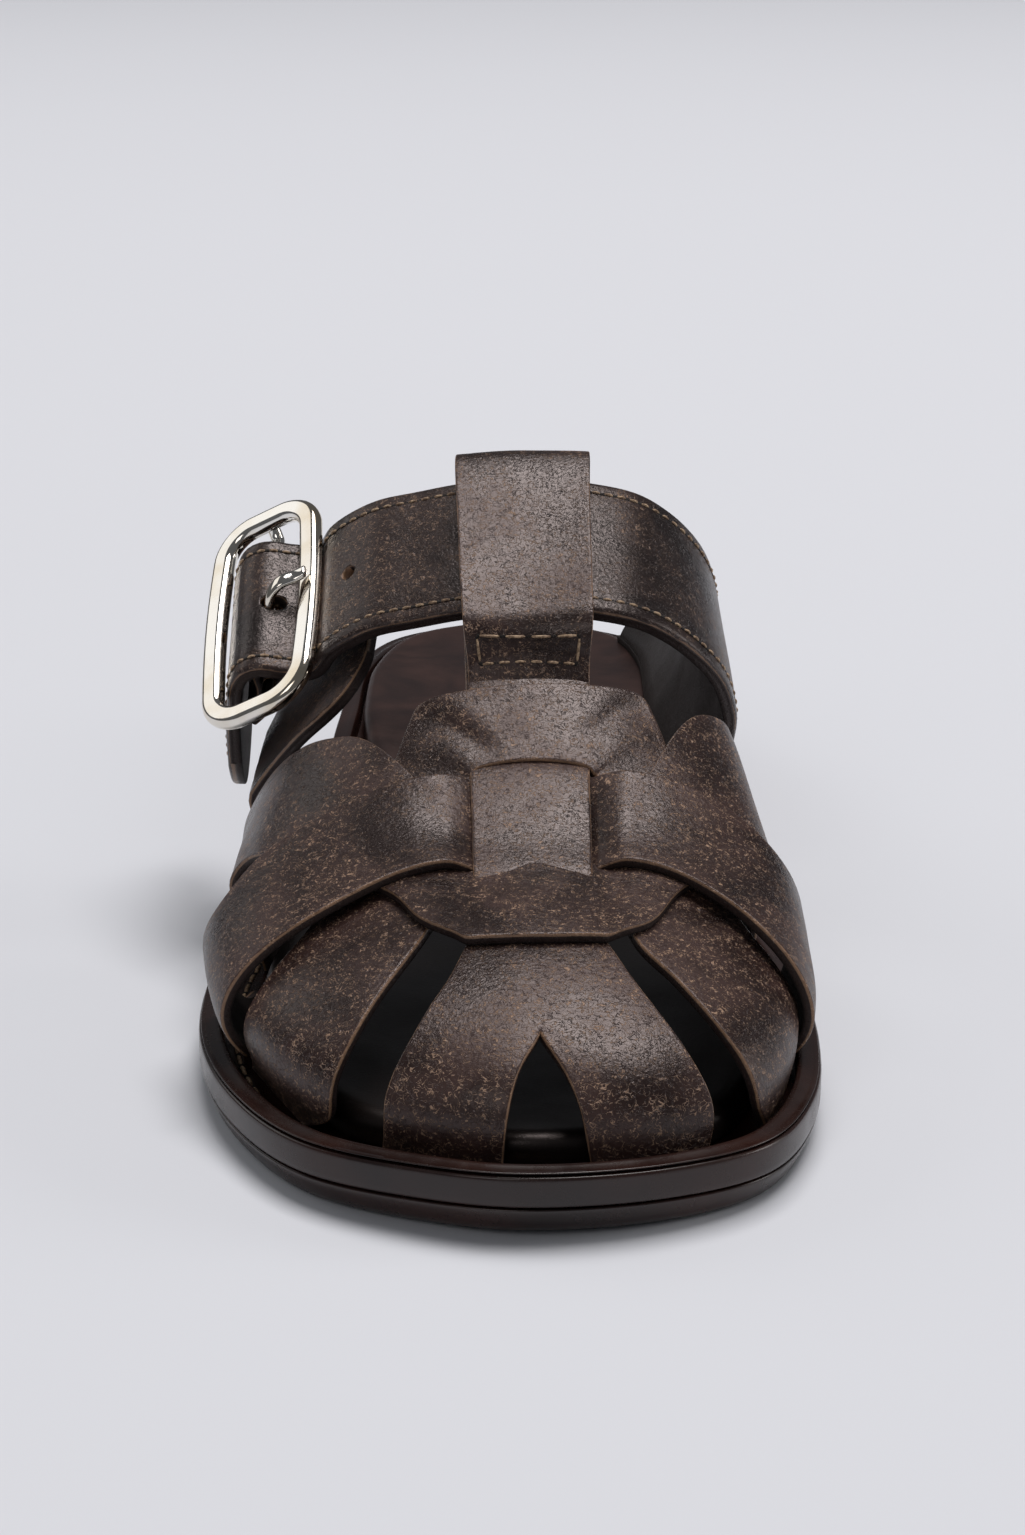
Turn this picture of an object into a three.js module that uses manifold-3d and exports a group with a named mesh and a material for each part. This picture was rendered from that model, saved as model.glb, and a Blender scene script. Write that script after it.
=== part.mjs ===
// Right-foot leather clog: woven straps over the toes, a T-strap, a buckled instep strap and a low sole.
// Millimetres, +Z up. The toe points to -Y, the heel to +Y, and +X is the inner side of the foot.
// The origin is on the floor under the middle of the whole shoe, buckle included.
import * as THREE from 'three';
import { mergeVertices } from 'three/addons/utils/BufferGeometryUtils.js';
import Module from 'manifold-3d';

const wasm = await Module();
wasm.setup();

// Driving sizes
const soleLength = 270;
const leather = 1.9; // one layer of the woven upper
const strapLeather = 3.0; // the lined instep strap
const tabLeather = 2.4; // the strap that carries the buckle
const fit = 0.35; // gap between pieces that touch
const outsoleTop = 4.3;
const channelFloor = 6.8;
const seamHeight = 9.8; // top of the midsole's side wall
const lipHeight = 10.8; // top of the rim
const footbedTop = 12.8;
const heelLift = 10;
const toeSpring = 1.8;
const upperInset = 9.6; // inner face of the upper, in from the sole's outer edge
const innerSideGain = 2.2; // the upper stands this much nearer to the edge on the inner side
const sideShift = 3.4; // from the sole's middle line to the middle of the shoe's full width

// Outline of the sole at its widest height: distance behind the toe, and to each side of the middle
const outlineColumns = ['back', 'outerSide', 'innerSide'];
const outlineRows = table(outlineColumns, [
  [4, 14.2, 23.4],
  [14.5, 32.9, 40.1],
  [33, 45.7, 48.8],
  [55, 52.8, 51.6],
  [80, 53.9, 50.8],
  [105, 50.4, 46.5],
  [132, 44.5, 40.5],
  [165, 39.5, 36.6],
  [200, 37.2, 36],
  [232, 36, 35.3],
  [256, 28.5, 28.5],
  [267.5, 14, 14],
]);
const toeTip = 3; // the tip of the toe lies this far to the inner side
const outlineSteps = 3; // points from one outline row to the next

// The last: ridge line, how far each wall swells past its foot, the height of its widest place,
// and how flat each shoulder is (1 is an ellipse, 2 a parabola)
const lastColumns = ['back', 'ridgeX', 'ridgeZ', 'swellOut', 'swellIn', 'wideOut', 'wideIn', 'flatOut', 'flatIn'];
const lastRows = table(lastColumns, [
  [0, 4.0, 31.5, 0.6, 0.2, 14, 14, 1, 1],
  [20, 4.0, 32.0, 2.0, 0.6, 16, 15, 1, 1],
  [35, 4.0, 33.2, 3.0, 1.4, 18, 16, 1, 1],
  [50, 4.0, 34.6, 3.4, 1.5, 20, 18, 1.1, 1],
  [64, 3.8, 37.4, 3.5, 0.7, 23, 21, 1.3, 1],
  [82, 3.4, 45.4, 4.0, 0.6, 25, 26, 1.42, 1],
  [98, 2.9, 54.6, 5.2, 0.2, 27, 32, 1.5, 1],
  [112, 2.6, 63.4, 8.0, 0.2, 28, 38, 1.7, 1.06],
  [122, 2.4, 69.8, 10.4, 2.0, 29, 42, 2.0, 1.1],
  [142, 2.0, 82.0, 13.0, 4.8, 30, 47, 2.0, 1.16],
  [160, 2.0, 90.0, 14.5, 5.8, 30, 48, 2.0, 1.16],
]);
const pole = 52; // ahead of this the sections fan out round the toe

// Straps as flat patterns on the last: across is the distance round from the ridge, along is the
// distance behind the toe, for the rear and the front edge; layer counts the leather beneath
const strapColumns = ['rearAcross', 'rearAlong', 'frontAcross', 'frontAlong', 'layer'];
const saddleStrap = {
  outerLanding: [82, 57, 0.1],
  innerLanding: [83, 58, 0],
  rows: table(strapColumns, [
    [-66, 67, -60, 44, 0.5],
    [-55, 66, -51, 42.5, 1.7],
    [-46, 74, -42, 46, 2.1],
    [-36.5, 78, -32, 52, 2.0],
    [-26, 81, -22.5, 57.5, 1.9],
    [-16.5, 82, -14, 59.8, 1.3],
    [-9, 82, -9, 60, 0.2],
    [0.5, 82.5, 0.5, 60, 0],
    [9, 82.5, 9, 60.5, 0.2],
    [16, 83, 14.5, 61, 1.3],
    [25, 82.5, 22, 59.5, 1.9],
    [34, 80.5, 30, 55, 2.0],
    [43, 75.5, 38, 48, 2.1],
    [50, 71, 46, 43, 1.5],
    [58, 71, 54, 45, 0.2],
  ]),
};
const frontChevron = {
  outerLanding: [113, 91, 0],
  innerLanding: [116, 92, 0],
  rows: table(strapColumns, [
    [-72, 110, -66, 87, 0.1],
    [-58, 111, -54, 85, 0.3],
    [-45, 106, -45, 77, 0.8],
    [-36, 101, -35, 67, 1],
    [-28, 95, -24, 55, 1.05],
    [-18, 81, -17, 44, 1.1],
    [-10, 63, -10, 38.6, 1.05],
    [0, 60.5, 0, 37.6, 1],
    [10, 63, 9.5, 39, 1.05],
    [17.5, 81, 16, 44.5, 1.1],
    [27, 99.5, 23.5, 57.5, 1.05],
    [35, 107.5, 33, 70, 1],
    [43, 112.8, 41, 80, 0.8],
    [53, 114.8, 50, 87, 0.3],
    [62, 115, 59, 90, 0.1],
  ]),
};
const rearChevron = {
  outerLanding: [50, 28, 0],
  innerLanding: [50, 27, 0],
  rows: table(strapColumns, [
    [-57, 42, -40.5, 13.5, 0],
    [-50, 40, -33, 18, 0],
    [-44, 44, -26, 28.5, 0],
    [-37, 54, -18.4, 43, 0],
    [-30, 70, -12.5, 62, 0.1],
    [-22, 89.7, -10.8, 81, 0.6],
    [-14, 99.8, -8, 84, 1.0],
    [0, 100, 0, 84.8, 1.05],
    [15, 101.5, 8, 84.5, 1.0],
    [22.3, 92, 10.8, 82, 0.6],
    [28, 72, 12, 62, 0.1],
    [34.5, 56.5, 15.4, 42.5, 0],
    [40.5, 49.5, 22, 32.5, 0],
    [46, 46, 31, 22, 0],
    [51.5, 45.5, 39, 16.5, 0],
  ]),
};
// The middle strap from the instep to the fork over the toes, with its left and right edges
const middleColumns = ['along', 'leftEdge', 'rightEdge', 'layer'];
const middleStrap = table(middleColumns, [
  [110, -11.2, 10.6, 0.1],
  [98, -11, 10.4, 0],
  [88, -10.8, 10, 0.15],
  [82, -10.5, 9.4, 1],
  [71, -10.4, 9.2, 1.15],
  [60, -10.4, 9, 0.9],
  [54, -10.4, 9.2, 0.1],
  [41, -10.6, 10, 0],
]);
const legColumns = ['outEdge', 'outAlong', 'inEdge', 'inAlong'];
const forkPoint = 17.5;
const outerLeg = {
  landing: [-34.5, -7.5],
  rows: table(legColumns, [
    [-10.6, 42, 0.5, 42],
    [-14, 31.5, 0.5, 30],
    [-17.6, 24.5, 0.5, 23],
    [-20.2, 19.5, 0.1, forkPoint],
    [-23, 15, -3.2, 10.5],
    [-25.6, 11.3, -5, 5],
    [-28, 8, -6.2, 0.5],
  ]),
};
const innerLeg = {
  landing: [34.2, 11],
  rows: table(legColumns, [
    [10, 42, -0.5, 42],
    [14.6, 31.5, -0.5, 30],
    [18.6, 24.5, -0.5, 23],
    [22, 19.5, 0.1, forkPoint],
    [25.2, 15.2, 4.2, 11],
    [28.6, 11.4, 6.8, 6],
    [31, 8, 8.8, 1],
  ]),
};
// The T-strap's front face, fold and hidden back face over the instep strap
const loopColumns = ['along', 'lift', 'halfWidth'];
const loopRows = table(loopColumns, [
  [103, 1.0, 10.6],
  [106.5, 3.0, 10.3],
  [110, 6.3, 10],
  [115, 6.9, 9.9],
  [128, 6.9, 9.8],
  [142, 6.9, 9.8],
  [146.5, 6.1, 9.9],
  [148.2, 3.5, 10.6],
  [146.5, 1.2, 10.9],
  [142, 0.55, 10.8],
  [128, 0.5, 10.6],
  [112, 0.5, 10.4],
  [104, 0.5, 10.4],
]);

// The instep strap's outer face, from the inner side of the sole over the foot to its loose tip:
// lean is the slope of its width, inset is how much nearer its top edge lies
const instepColumns = ['x', 'back', 'height', 'lean', 'inset'];
const instepRows = table(instepColumns, [
  [31.7, 160, 14.1, 9.6, 0.9],
  [32.3, 159.6, 17.5, 10, 0.9],
  [36.6, 156.5, 27, 14, 1.5],
  [39.9, 151.5, 37, 20, 2.2],
  [41.2, 145.6, 47, 25, 2.6],
  [40.7, 142, 53.2, 28, 2.4],
  [38.8, 138.2, 59.6, 30, 2],
  [35.3, 134.7, 65.2, 31.2, 1.6],
  [30, 131.3, 70.6, 31.2, 1],
  [23.2, 128.8, 74.8, 31.2, 0.3],
  [14, 127.4, 77.1, 31.2, 0],
  [2, 126.4, 78.7, 31.2, 0],
  [-10, 127.5, 76.9, 31.2, 0],
  [-18.3, 128.7, 75.0, 31.2, 0],
  [-25.5, 129.8, 73.2, 31.2, 0],
  [-31, 131.5, 70.3, 31.2, 0],
  [-35, 133.5, 67, 31.2, 0],
  [-37.7, 135.9, 63.1, 31.2, 0],
  [-41.8, 135.9, 63.0, 31.2, 0],
  [-47, 135.5, 63.7, 31.2, 0],
  [-51, 136.4, 62.2, 31.2, 0],
  [-53.2, 138.5, 58.7, 31.2, 0],
  [-53.8, 141.1, 54.3, 31.2, 0],
  [-54.6, 145.2, 47.6, 31.2, 0],
  [-55.3, 158.3, 26.2, 31.2, 0],
]);
const instepHalfWidth = 16.5;
const instepAcross = 8; // steps over its width
// How far its rear edge runs on along the inner side of the heel, for the first rows
const rearReach = [72, 70, 40, 18, 5, 1, 0];
const heelStep = 6.5; // the part that runs on climbs from the channel to the footbed's edge
const heelStepStart = 175;
const heelStepLength = 11;
const heelStepRows = 3; // rows over which that climb fades out
const holeRow = 19; // the row, counted from the first, where the prong comes through
const looseHoles = [14.95, 21.6];
const holeWidth = 3.4;

// The strap that carries the buckle, on the outer side of the foot
const anchorStrap = {
  outerLanding: [154, 126, 0],
  rows: table(strapColumns, [
    [-88, 149, -82, 123.5, 0.05],
    [-74, 146, -70, 122, 0.05],
    [-62, 144, -60, 120, 0.05],
    [-52, 142.5, -50, 116.5, 0.05],
    [-44, 141, -42, 113.5, 0.05],
    [-37.5, 138, -36.5, 114, 0.05],
    [-32.5, 133.5, -33, 118, 0.05],
    [-31, 129, -31.5, 122, 0.05],
  ]),
};

// The buckle
const frameWide = 4.2; // the frame is a flattened band, wider than it is thick
const frameThick = 3;
const frameAcross = 48.4; // between bar centres, across the strap
const frameAlong = 19.4;
const frameBow = 1.3; // the long sides stand out this far at their middles
const frameCorner = 6.5;
const barWire = 1.3;
const barSink = 3.5; // the middle bar lies under the frame
const prongWire = 1.0;
const chapeLeather = 1.4;

function table(columns, rows) {
  return rows.map((row) => Object.fromEntries(columns.map((name, i) => [name, row[i]])));
}

function smooth(t) {
  const c = Math.min(Math.max(t, 0), 1);
  return c * c * (3 - 2 * c);
}

// Value of a column between rows, along a smooth curve that keeps the rows' rise and fall
function columnAt(rows, key, back) {
  const last = rows.length - 1;
  if (back <= rows[0].back) return rows[0][key];
  if (back >= rows[last].back) return rows[last][key];
  let i = 0;
  while (rows[i + 1].back < back) i += 1;
  const slope = (k) => (rows[k + 1][key] - rows[k][key]) / (rows[k + 1].back - rows[k].back);
  const tangent = (k) => {
    if (k === 0) return slope(0);
    if (k === last) return slope(last - 1);
    const before = slope(k - 1);
    const after = slope(k);
    return before * after <= 0 ? 0 : (2 * before * after) / (before + after);
  };
  const width = rows[i + 1].back - rows[i].back;
  const t = (back - rows[i].back) / width;
  const a = rows[i][key];
  const b = rows[i + 1][key];
  return (2 * t ** 3 - 3 * t ** 2 + 1) * a + (t ** 3 - 2 * t ** 2 + t) * width * tangent(i)
    + (3 * t ** 2 - 2 * t ** 3) * b + (t ** 3 - t ** 2) * width * tangent(i + 1);
}

// Rows of numbers read at a fractional row by a smooth spline
function rowAt(rows, t) {
  const last = rows.length - 1;
  const i = Math.min(Math.max(Math.floor(t), 0), last - 1);
  const f = t - i;
  const pick = (k) => rows[Math.min(Math.max(k, 0), last)];
  const result = {};
  for (const key of Object.keys(rows[0])) {
    const [p0, p1, p2, p3] = [pick(i - 1)[key], pick(i)[key], pick(i + 1)[key], pick(i + 2)[key]];
    result[key] = p1 + 0.5 * f * (p2 - p0 + f * (2 * p0 - 5 * p1 + 4 * p2 - p3 + f * (3 * (p1 - p2) + p3 - p0)));
  }
  return result;
}

// Height that the sole gains over its flat forefoot
function rise(back) {
  return heelLift * smooth((back - 112) / 88) + toeSpring * Math.max(0, 1 - back / 30) ** 2;
}

// Closed outline of the sole, as points with x and back, from the toe down the outer side and home
function soleOutline() {
  const outerSide = outlineRows.map((row) => new THREE.Vector3(-row.outerSide, row.back, 0));
  const innerSide = outlineRows.map((row) => new THREE.Vector3(row.innerSide, row.back, 0)).reverse();
  const toe = new THREE.Vector3(toeTip, 0, 0);
  const heel = new THREE.Vector3(0, soleLength, 0);
  const curve = new THREE.CatmullRomCurve3([toe, ...outerSide, heel, ...innerSide], true, 'catmullrom', 0.5);
  const count = (outlineRows.length + 1) * 2 * outlineSteps;
  return Array.from({ length: count }, (_, i) => curve.getPoint(i / count));
}

const outline = soleOutline();

// The outline moved in by a distance, or by one that depends on the place
function insetOutline(inset) {
  return outline.map((p, i) => {
    const before = outline.at(i - 1);
    const after = outline[(i + 1) % outline.length];
    const step = Math.hypot(after.x - before.x, after.y - before.y);
    const share = (typeof inset === 'function' ? inset(p.y, p.x) : inset) / step;
    return { x: p.x + (after.y - before.y) * share, back: p.y - (after.x - before.x) * share };
  });
}

function place(x, back, z) {
  return new THREE.Vector3(x + sideShift, back - soleLength / 2, z);
}

// A level ring round the sole, following its rise
function ring(inset, height) {
  return insetOutline(inset).map((p) => place(p.x, p.back, height + rise(p.back)));
}

function flatRing(inset, height) {
  return insetOutline(inset).map((p) => place(p.x, p.back, height));
}

// Mesh from triangles of points, turned so that its faces point out
function bodyFrom(triangles) {
  const positions = new Float32Array(triangles.flatMap((p) => [p.x, p.y, p.z]));
  const raw = new THREE.BufferGeometry();
  raw.setAttribute('position', new THREE.BufferAttribute(positions, 3));
  return outward(dropSlivers(mergeVertices(raw, 1e-4)));
}

function dropSlivers(geometry) {
  const index = Array.from(geometry.index.array);
  const kept = [];
  for (let i = 0; i < index.length; i += 3) {
    const [a, b, c] = index.slice(i, i + 3);
    if (a !== b && b !== c && a !== c) kept.push(a, b, c);
  }
  geometry.setIndex(kept);
  return geometry;
}

function outward(geometry) {
  const p = geometry.getAttribute('position');
  const index = geometry.index.array;
  const corner = (k) => new THREE.Vector3().fromBufferAttribute(p, index[k]);
  let volume = 0;
  for (let i = 0; i < index.length; i += 3) {
    volume += corner(i).dot(corner(i + 1).cross(corner(i + 2)));
  }
  if (volume < 0) {
    const flipped = Array.from(index);
    for (let i = 0; i < flipped.length; i += 3) [flipped[i], flipped[i + 1]] = [flipped[i + 1], flipped[i]];
    geometry.setIndex(flipped);
  }
  return geometry;
}

function quad(out, a, b, c, d) {
  out.push(a, b, c, a, c, d);
}

// Rings joined to each other, either closed on themselves or capped along the middle of the sole
function loft(rings, closed = false) {
  const out = [];
  const count = rings[0].length;
  const bands = closed ? rings.length : rings.length - 1;
  for (let r = 0; r < bands; r += 1) {
    const low = rings[r];
    const high = rings[(r + 1) % rings.length];
    for (let i = 0; i < count; i += 1) {
      const j = (i + 1) % count;
      quad(out, low[i], low[j], high[j], high[i]);
    }
  }
  if (!closed) {
    cap(out, rings[0], true);
    cap(out, rings.at(-1), false);
  }
  return bodyFrom(out);
}

function cap(out, points, below) {
  const half = points.length / 2;
  const twin = (i) => (points.length - i) % points.length;
  const spine = Array.from({ length: half + 1 }, (_, i) => points[i].clone().lerp(points[twin(i)], 0.5));
  for (let i = 0; i < half; i += 1) {
    for (const [a, b] of [[points[i], points[i + 1]], [points[twin(i + 1)], points[twin(i)]]]) {
      const [near, far] = a === points[i] ? [spine[i], spine[i + 1]] : [spine[i + 1], spine[i]];
      if (below) quad(out, b, a, near, far);
      else quad(out, a, b, far, near);
    }
  }
}

function toSolid(geometry) {
  const vertProperties = new Float32Array(geometry.getAttribute('position').array);
  const triVerts = new Uint32Array(geometry.index.array);
  return new wasm.Manifold(new wasm.Mesh({ numProp: 3, vertProperties, triVerts }));
}

function toGeometry(solid) {
  const mesh = solid.getMesh();
  const geometry = new THREE.BufferGeometry();
  geometry.setAttribute('position', new THREE.BufferAttribute(new Float32Array(mesh.vertProperties), 3));
  geometry.setIndex(Array.from(mesh.triVerts));
  return geometry;
}

// Joined solids, with any pocket that they close between them filled
function joined(geometries) {
  return filled(toGeometry(geometries.map(toSolid).reduce((whole, piece) => whole.add(piece))));
}

function filled(geometry) {
  const index = Array.from(geometry.index.array);
  const p = geometry.getAttribute('position');
  const parent = Array.from({ length: p.count }, (_, i) => i);
  const root = (i) => {
    let k = i;
    while (parent[k] !== k) k = parent[k] = parent[parent[k]];
    return k;
  };
  for (let i = 0; i < index.length; i += 3) {
    parent[root(index[i])] = root(index[i + 1]);
    parent[root(index[i + 1])] = root(index[i + 2]);
  }
  const volumes = new Map();
  const corner = (k) => new THREE.Vector3().fromBufferAttribute(p, index[k]);
  for (let i = 0; i < index.length; i += 3) {
    const shell = root(index[i]);
    const part = corner(i).dot(corner(i + 1).cross(corner(i + 2)));
    volumes.set(shell, (volumes.get(shell) ?? 0) + part);
  }
  const kept = index.filter((k, i) => volumes.get(root(index[i - (i % 3)])) > 0);
  const result = new THREE.BufferGeometry();
  result.setAttribute('position', p.clone());
  result.setIndex(kept);
  return mergeVertices(result, 1e-5);
}

function cut(geometry, tools) {
  return toGeometry(tools.map(toSolid).reduce((whole, tool) => whole.subtract(tool), toSolid(geometry)));
}

function bare(geometry) {
  geometry.deleteAttribute('normal');
  geometry.deleteAttribute('uv');
  return outward(dropSlivers(mergeVertices(geometry, 1e-4)));
}

// A thin slab from a function that gives a point for a place along it, across it and on its two faces
function slab(stepsAlong, stepsAcross, pointAt) {
  const out = [];
  const grid = (side) => Array.from({ length: stepsAlong + 1 }, (_, i) =>
    Array.from({ length: stepsAcross + 1 }, (__, j) => pointAt(i / stepsAlong, j / stepsAcross, side)));
  const inner = grid(0);
  const outer = grid(1);
  for (let i = 0; i < stepsAlong; i += 1) {
    for (let j = 0; j < stepsAcross; j += 1) {
      quad(out, outer[i][j], outer[i + 1][j], outer[i + 1][j + 1], outer[i][j + 1]);
      quad(out, inner[i][j], inner[i][j + 1], inner[i + 1][j + 1], inner[i + 1][j]);
    }
    quad(out, inner[i][0], inner[i + 1][0], outer[i + 1][0], outer[i][0]);
    quad(out, inner[i + 1][stepsAcross], inner[i][stepsAcross], outer[i][stepsAcross], outer[i + 1][stepsAcross]);
  }
  for (let j = 0; j < stepsAcross; j += 1) {
    quad(out, inner[0][j + 1], inner[0][j], outer[0][j], outer[0][j + 1]);
    const end = stepsAlong;
    quad(out, inner[end][j], inner[end][j + 1], outer[end][j + 1], outer[end][j]);
  }
  return bodyFrom(out);
}

// The last
const lastFoot = insetOutline((back, x) => upperInset - innerSideGain * smooth((x - 8) / 22));
const poleX = columnAt(lastRows, 'ridgeX', pole);

// Where the wall stands on the sole: behind the pole by distance, ahead of it by direction
function footAt(across, along) {
  const inner = across >= 0;
  if (along >= pole) {
    return footOnSide(inner, along);
  }
  const direction = Math.atan2(across, pole - along);
  const angles = lastFoot.map((p) => Math.atan2(p.x - poleX, pole - p.back));
  for (let i = 0; i < lastFoot.length; i += 1) {
    const j = (i + 1) % lastFoot.length;
    const [a, b] = [angles[i], angles[j]];
    if (Math.abs(a - b) < 1 && (a - direction) * (b - direction) <= 0 && a !== b) {
      const t = (direction - a) / (b - a);
      return mixFoot(lastFoot[i], lastFoot[j], t);
    }
  }
  return lastFoot[0];
}

function footOnSide(inner, along) {
  for (let i = 0; i < lastFoot.length; i += 1) {
    const [a, b] = [lastFoot[i], lastFoot[(i + 1) % lastFoot.length]];
    const onSide = inner ? a.x > 0 && b.x > 0 : a.x < 0 && b.x < 0;
    if (onSide && (a.back - along) * (b.back - along) <= 0 && a.back !== b.back) {
      return mixFoot(a, b, (along - a.back) / (b.back - a.back));
    }
  }
  return lastFoot[0];
}

function mixFoot(a, b, t) {
  return { x: a.x + (b.x - a.x) * t, back: a.back + (b.back - a.back) * t };
}

// Points down one section of the last, from the ridge or the pole to the foot of the wall
const ribSteps = 28;
const shoulderShare = 0.72;
function rib(across, along) {
  const inner = across >= 0;
  const foot = footAt(across, along);
  const top = { x: along < pole ? poleX : columnAt(lastRows, 'ridgeX', along), back: Math.max(along, pole) };
  const reach = Math.hypot(foot.x - top.x, foot.back - top.back);
  const swell = columnAt(lastRows, inner ? 'swellIn' : 'swellOut', foot.back);
  const wide = columnAt(lastRows, inner ? 'wideIn' : 'wideOut', foot.back) + rise(foot.back);
  const flat = columnAt(lastRows, inner ? 'flatIn' : 'flatOut', foot.back);
  const floor = channelFloor + fit + rise(foot.back);
  return Array.from({ length: ribSteps + 1 }, (_, i) => {
    const t = i / ribSteps;
    const turn = (Math.min(t / shoulderShare, 1) * Math.PI) / 2;
    const low = Math.max(0, (t - shoulderShare) / (1 - shoulderShare));
    const out = (reach + swell) * Math.sin(turn) - swell * smooth(low);
    const x = top.x + ((foot.x - top.x) / reach) * out;
    const back = top.back + ((foot.back - top.back) / reach) * out;
    const ridge = columnAt(lastRows, 'ridgeZ', back);
    const drop = Math.cos(turn) ** flat;
    const z = t <= shoulderShare ? wide + (ridge - wide) * drop : wide - (wide - floor) * low;
    return place(x, back, z);
  });
}

function ribLength(across, along) {
  const points = rib(across, along);
  return points.slice(1).reduce((sum, p, i) => sum + p.distanceTo(points[i]), 0);
}

// Point on the last for a place in the flat pattern
function onLast(across, along) {
  const points = rib(across, along);
  let left = along < pole ? Math.hypot(across, pole - along) : Math.abs(across);
  for (let i = 1; i < points.length; i += 1) {
    const step = points[i].distanceTo(points[i - 1]);
    if (left <= step) return points[i - 1].clone().lerp(points[i], left / step);
    left -= step;
  }
  const end = points.at(-1);
  return end.clone().addScaledVector(end.clone().sub(points.at(-2)).normalize(), left);
}

function lifted(across, along, lift) {
  const reach = 0.6;
  const point = onLast(across, along);
  const side = onLast(across + reach, along).sub(onLast(across - reach, along));
  const back = onLast(across, along + reach).sub(onLast(across, along - reach));
  const normal = side.cross(back).normalize();
  const core = place(3, Math.min(Math.max(point.y + soleLength / 2, 35), 200), 14);
  if (normal.dot(point.clone().sub(core)) < 0) normal.negate();
  point.addScaledVector(normal, lift);
  point.z = Math.max(point.z, channelFloor + fit + rise(point.y + soleLength / 2));
  return point;
}

// Pattern place where a strap meets the sole: by distance behind the toe on a side of the foot
function landingOnSide(inner, back) {
  const side = inner ? 1 : -1;
  if (back >= pole) {
    return { across: side * (ribLength(side, back) - 0.01), along: back };
  }
  const foot = footOnSide(inner, back);
  return landingByAngle(Math.atan2(foot.x - poleX, pole - foot.back));
}

function landingByAngle(angle) {
  const [across, ahead] = [Math.sin(angle), Math.cos(angle)];
  const length = ribLength(across * 10, pole - ahead * 10) - 0.01;
  return { across: across * length, along: pole - ahead * length };
}

function withLandings(strap) {
  const rows = [...strap.rows];
  const end = (inner, [rear, front, layer]) => {
    const a = landingOnSide(inner, rear);
    const b = landingOnSide(inner, front);
    return { rearAcross: a.across, rearAlong: a.along, frontAcross: b.across, frontAlong: b.along, layer };
  };
  if (strap.outerLanding) rows.unshift(end(false, strap.outerLanding));
  if (strap.innerLanding) rows.push(end(true, strap.innerLanding));
  return rows;
}

function wovenStrap(strap, thickness = leather, stepsPerRow = 2) {
  const rows = withLandings(strap);
  return slab((rows.length - 1) * stepsPerRow, 4, (a, b, side) => {
    const row = rowAt(rows, a * (rows.length - 1));
    const across = row.rearAcross + (row.frontAcross - row.rearAcross) * b;
    const along = row.rearAlong + (row.frontAlong - row.rearAlong) * b;
    return lifted(across, along, row.layer * leather * 0.97 + side * thickness);
  });
}

function middleBand() {
  return slab((middleStrap.length - 1) * 3, 4, (a, b, side) => {
    const row = rowAt(middleStrap, a * (middleStrap.length - 1));
    const across = row.leftEdge + (row.rightEdge - row.leftEdge) * b;
    return lifted(across, row.along, row.layer * leather * 0.97 + side * leather);
  });
}

function toeLeg(leg) {
  const [outAngle, inAngle] = leg.landing.map(THREE.MathUtils.degToRad);
  const out = landingByAngle(outAngle);
  const inside = landingByAngle(inAngle);
  const end = { outEdge: out.across, outAlong: out.along, inEdge: inside.across, inAlong: inside.along };
  const rows = [...leg.rows, end];
  return slab((rows.length - 1) * 2, 3, (a, b, side) => {
    const row = rowAt(rows, a * (rows.length - 1));
    const across = row.outEdge + (row.inEdge - row.outEdge) * b;
    const along = row.outAlong + (row.inAlong - row.outAlong) * b;
    return lifted(across, along, side * leather);
  });
}

// The T-strap turned round the instep strap: faces stand off its path on both sides
function strapLoop() {
  const steps = (loopRows.length - 1) * 3;
  return slab(steps, 4, (a, b, side) => {
    const t = a * (loopRows.length - 1);
    const row = rowAt(loopRows, t);
    const before = rowAt(loopRows, Math.max(t - 0.02, 0));
    const after = rowAt(loopRows, Math.min(t + 0.02, loopRows.length - 1));
    const slope = 1.17; // the ridge is longer than its distance behind the toe
    const [run, climb] = [(after.along - before.along) * slope, after.lift - before.lift];
    const length = Math.hypot(run, climb);
    const off = (side - 0.5) * leather;
    return lifted(
      row.halfWidth * (b * 2 - 1),
      row.along - ((climb / length) * off) / slope,
      row.lift + (run / length) * off,
    );
  });
}

function upper() {
  return joined([
    wovenStrap(rearChevron),
    wovenStrap(frontChevron),
    wovenStrap(saddleStrap),
    middleBand(),
    toeLeg(outerLeg),
    toeLeg(innerLeg),
    strapLoop(),
  ]);
}

// The instep strap
const instepTip = instepRows.length - 1;

function instepFrame(t) {
  const row = rowAt(instepRows, t);
  const step = 0.05;
  const before = rowAt(instepRows, Math.max(t - step, 0));
  const after = rowAt(instepRows, Math.min(t + step, instepTip));
  const centre = place(row.x, row.back, row.height);
  const along = place(after.x, after.back, after.height).sub(place(before.x, before.back, before.height)).normalize();
  const lean = THREE.MathUtils.degToRad(row.lean);
  const inset = row.inset / (2 * instepHalfWidth);
  const across = new THREE.Vector3(-inset, Math.cos(lean), Math.sin(lean));
  across.addScaledVector(along, -across.dot(along)).normalize();
  const normal = across.clone().cross(along).normalize();
  return { centre, along, across, normal };
}

function reachAt(t) {
  const row = Math.min(Math.floor(t), rearReach.length - 2);
  const share = Math.min(t - row, 1);
  return rearReach[row] + (rearReach[row + 1] - rearReach[row]) * share;
}

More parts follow.
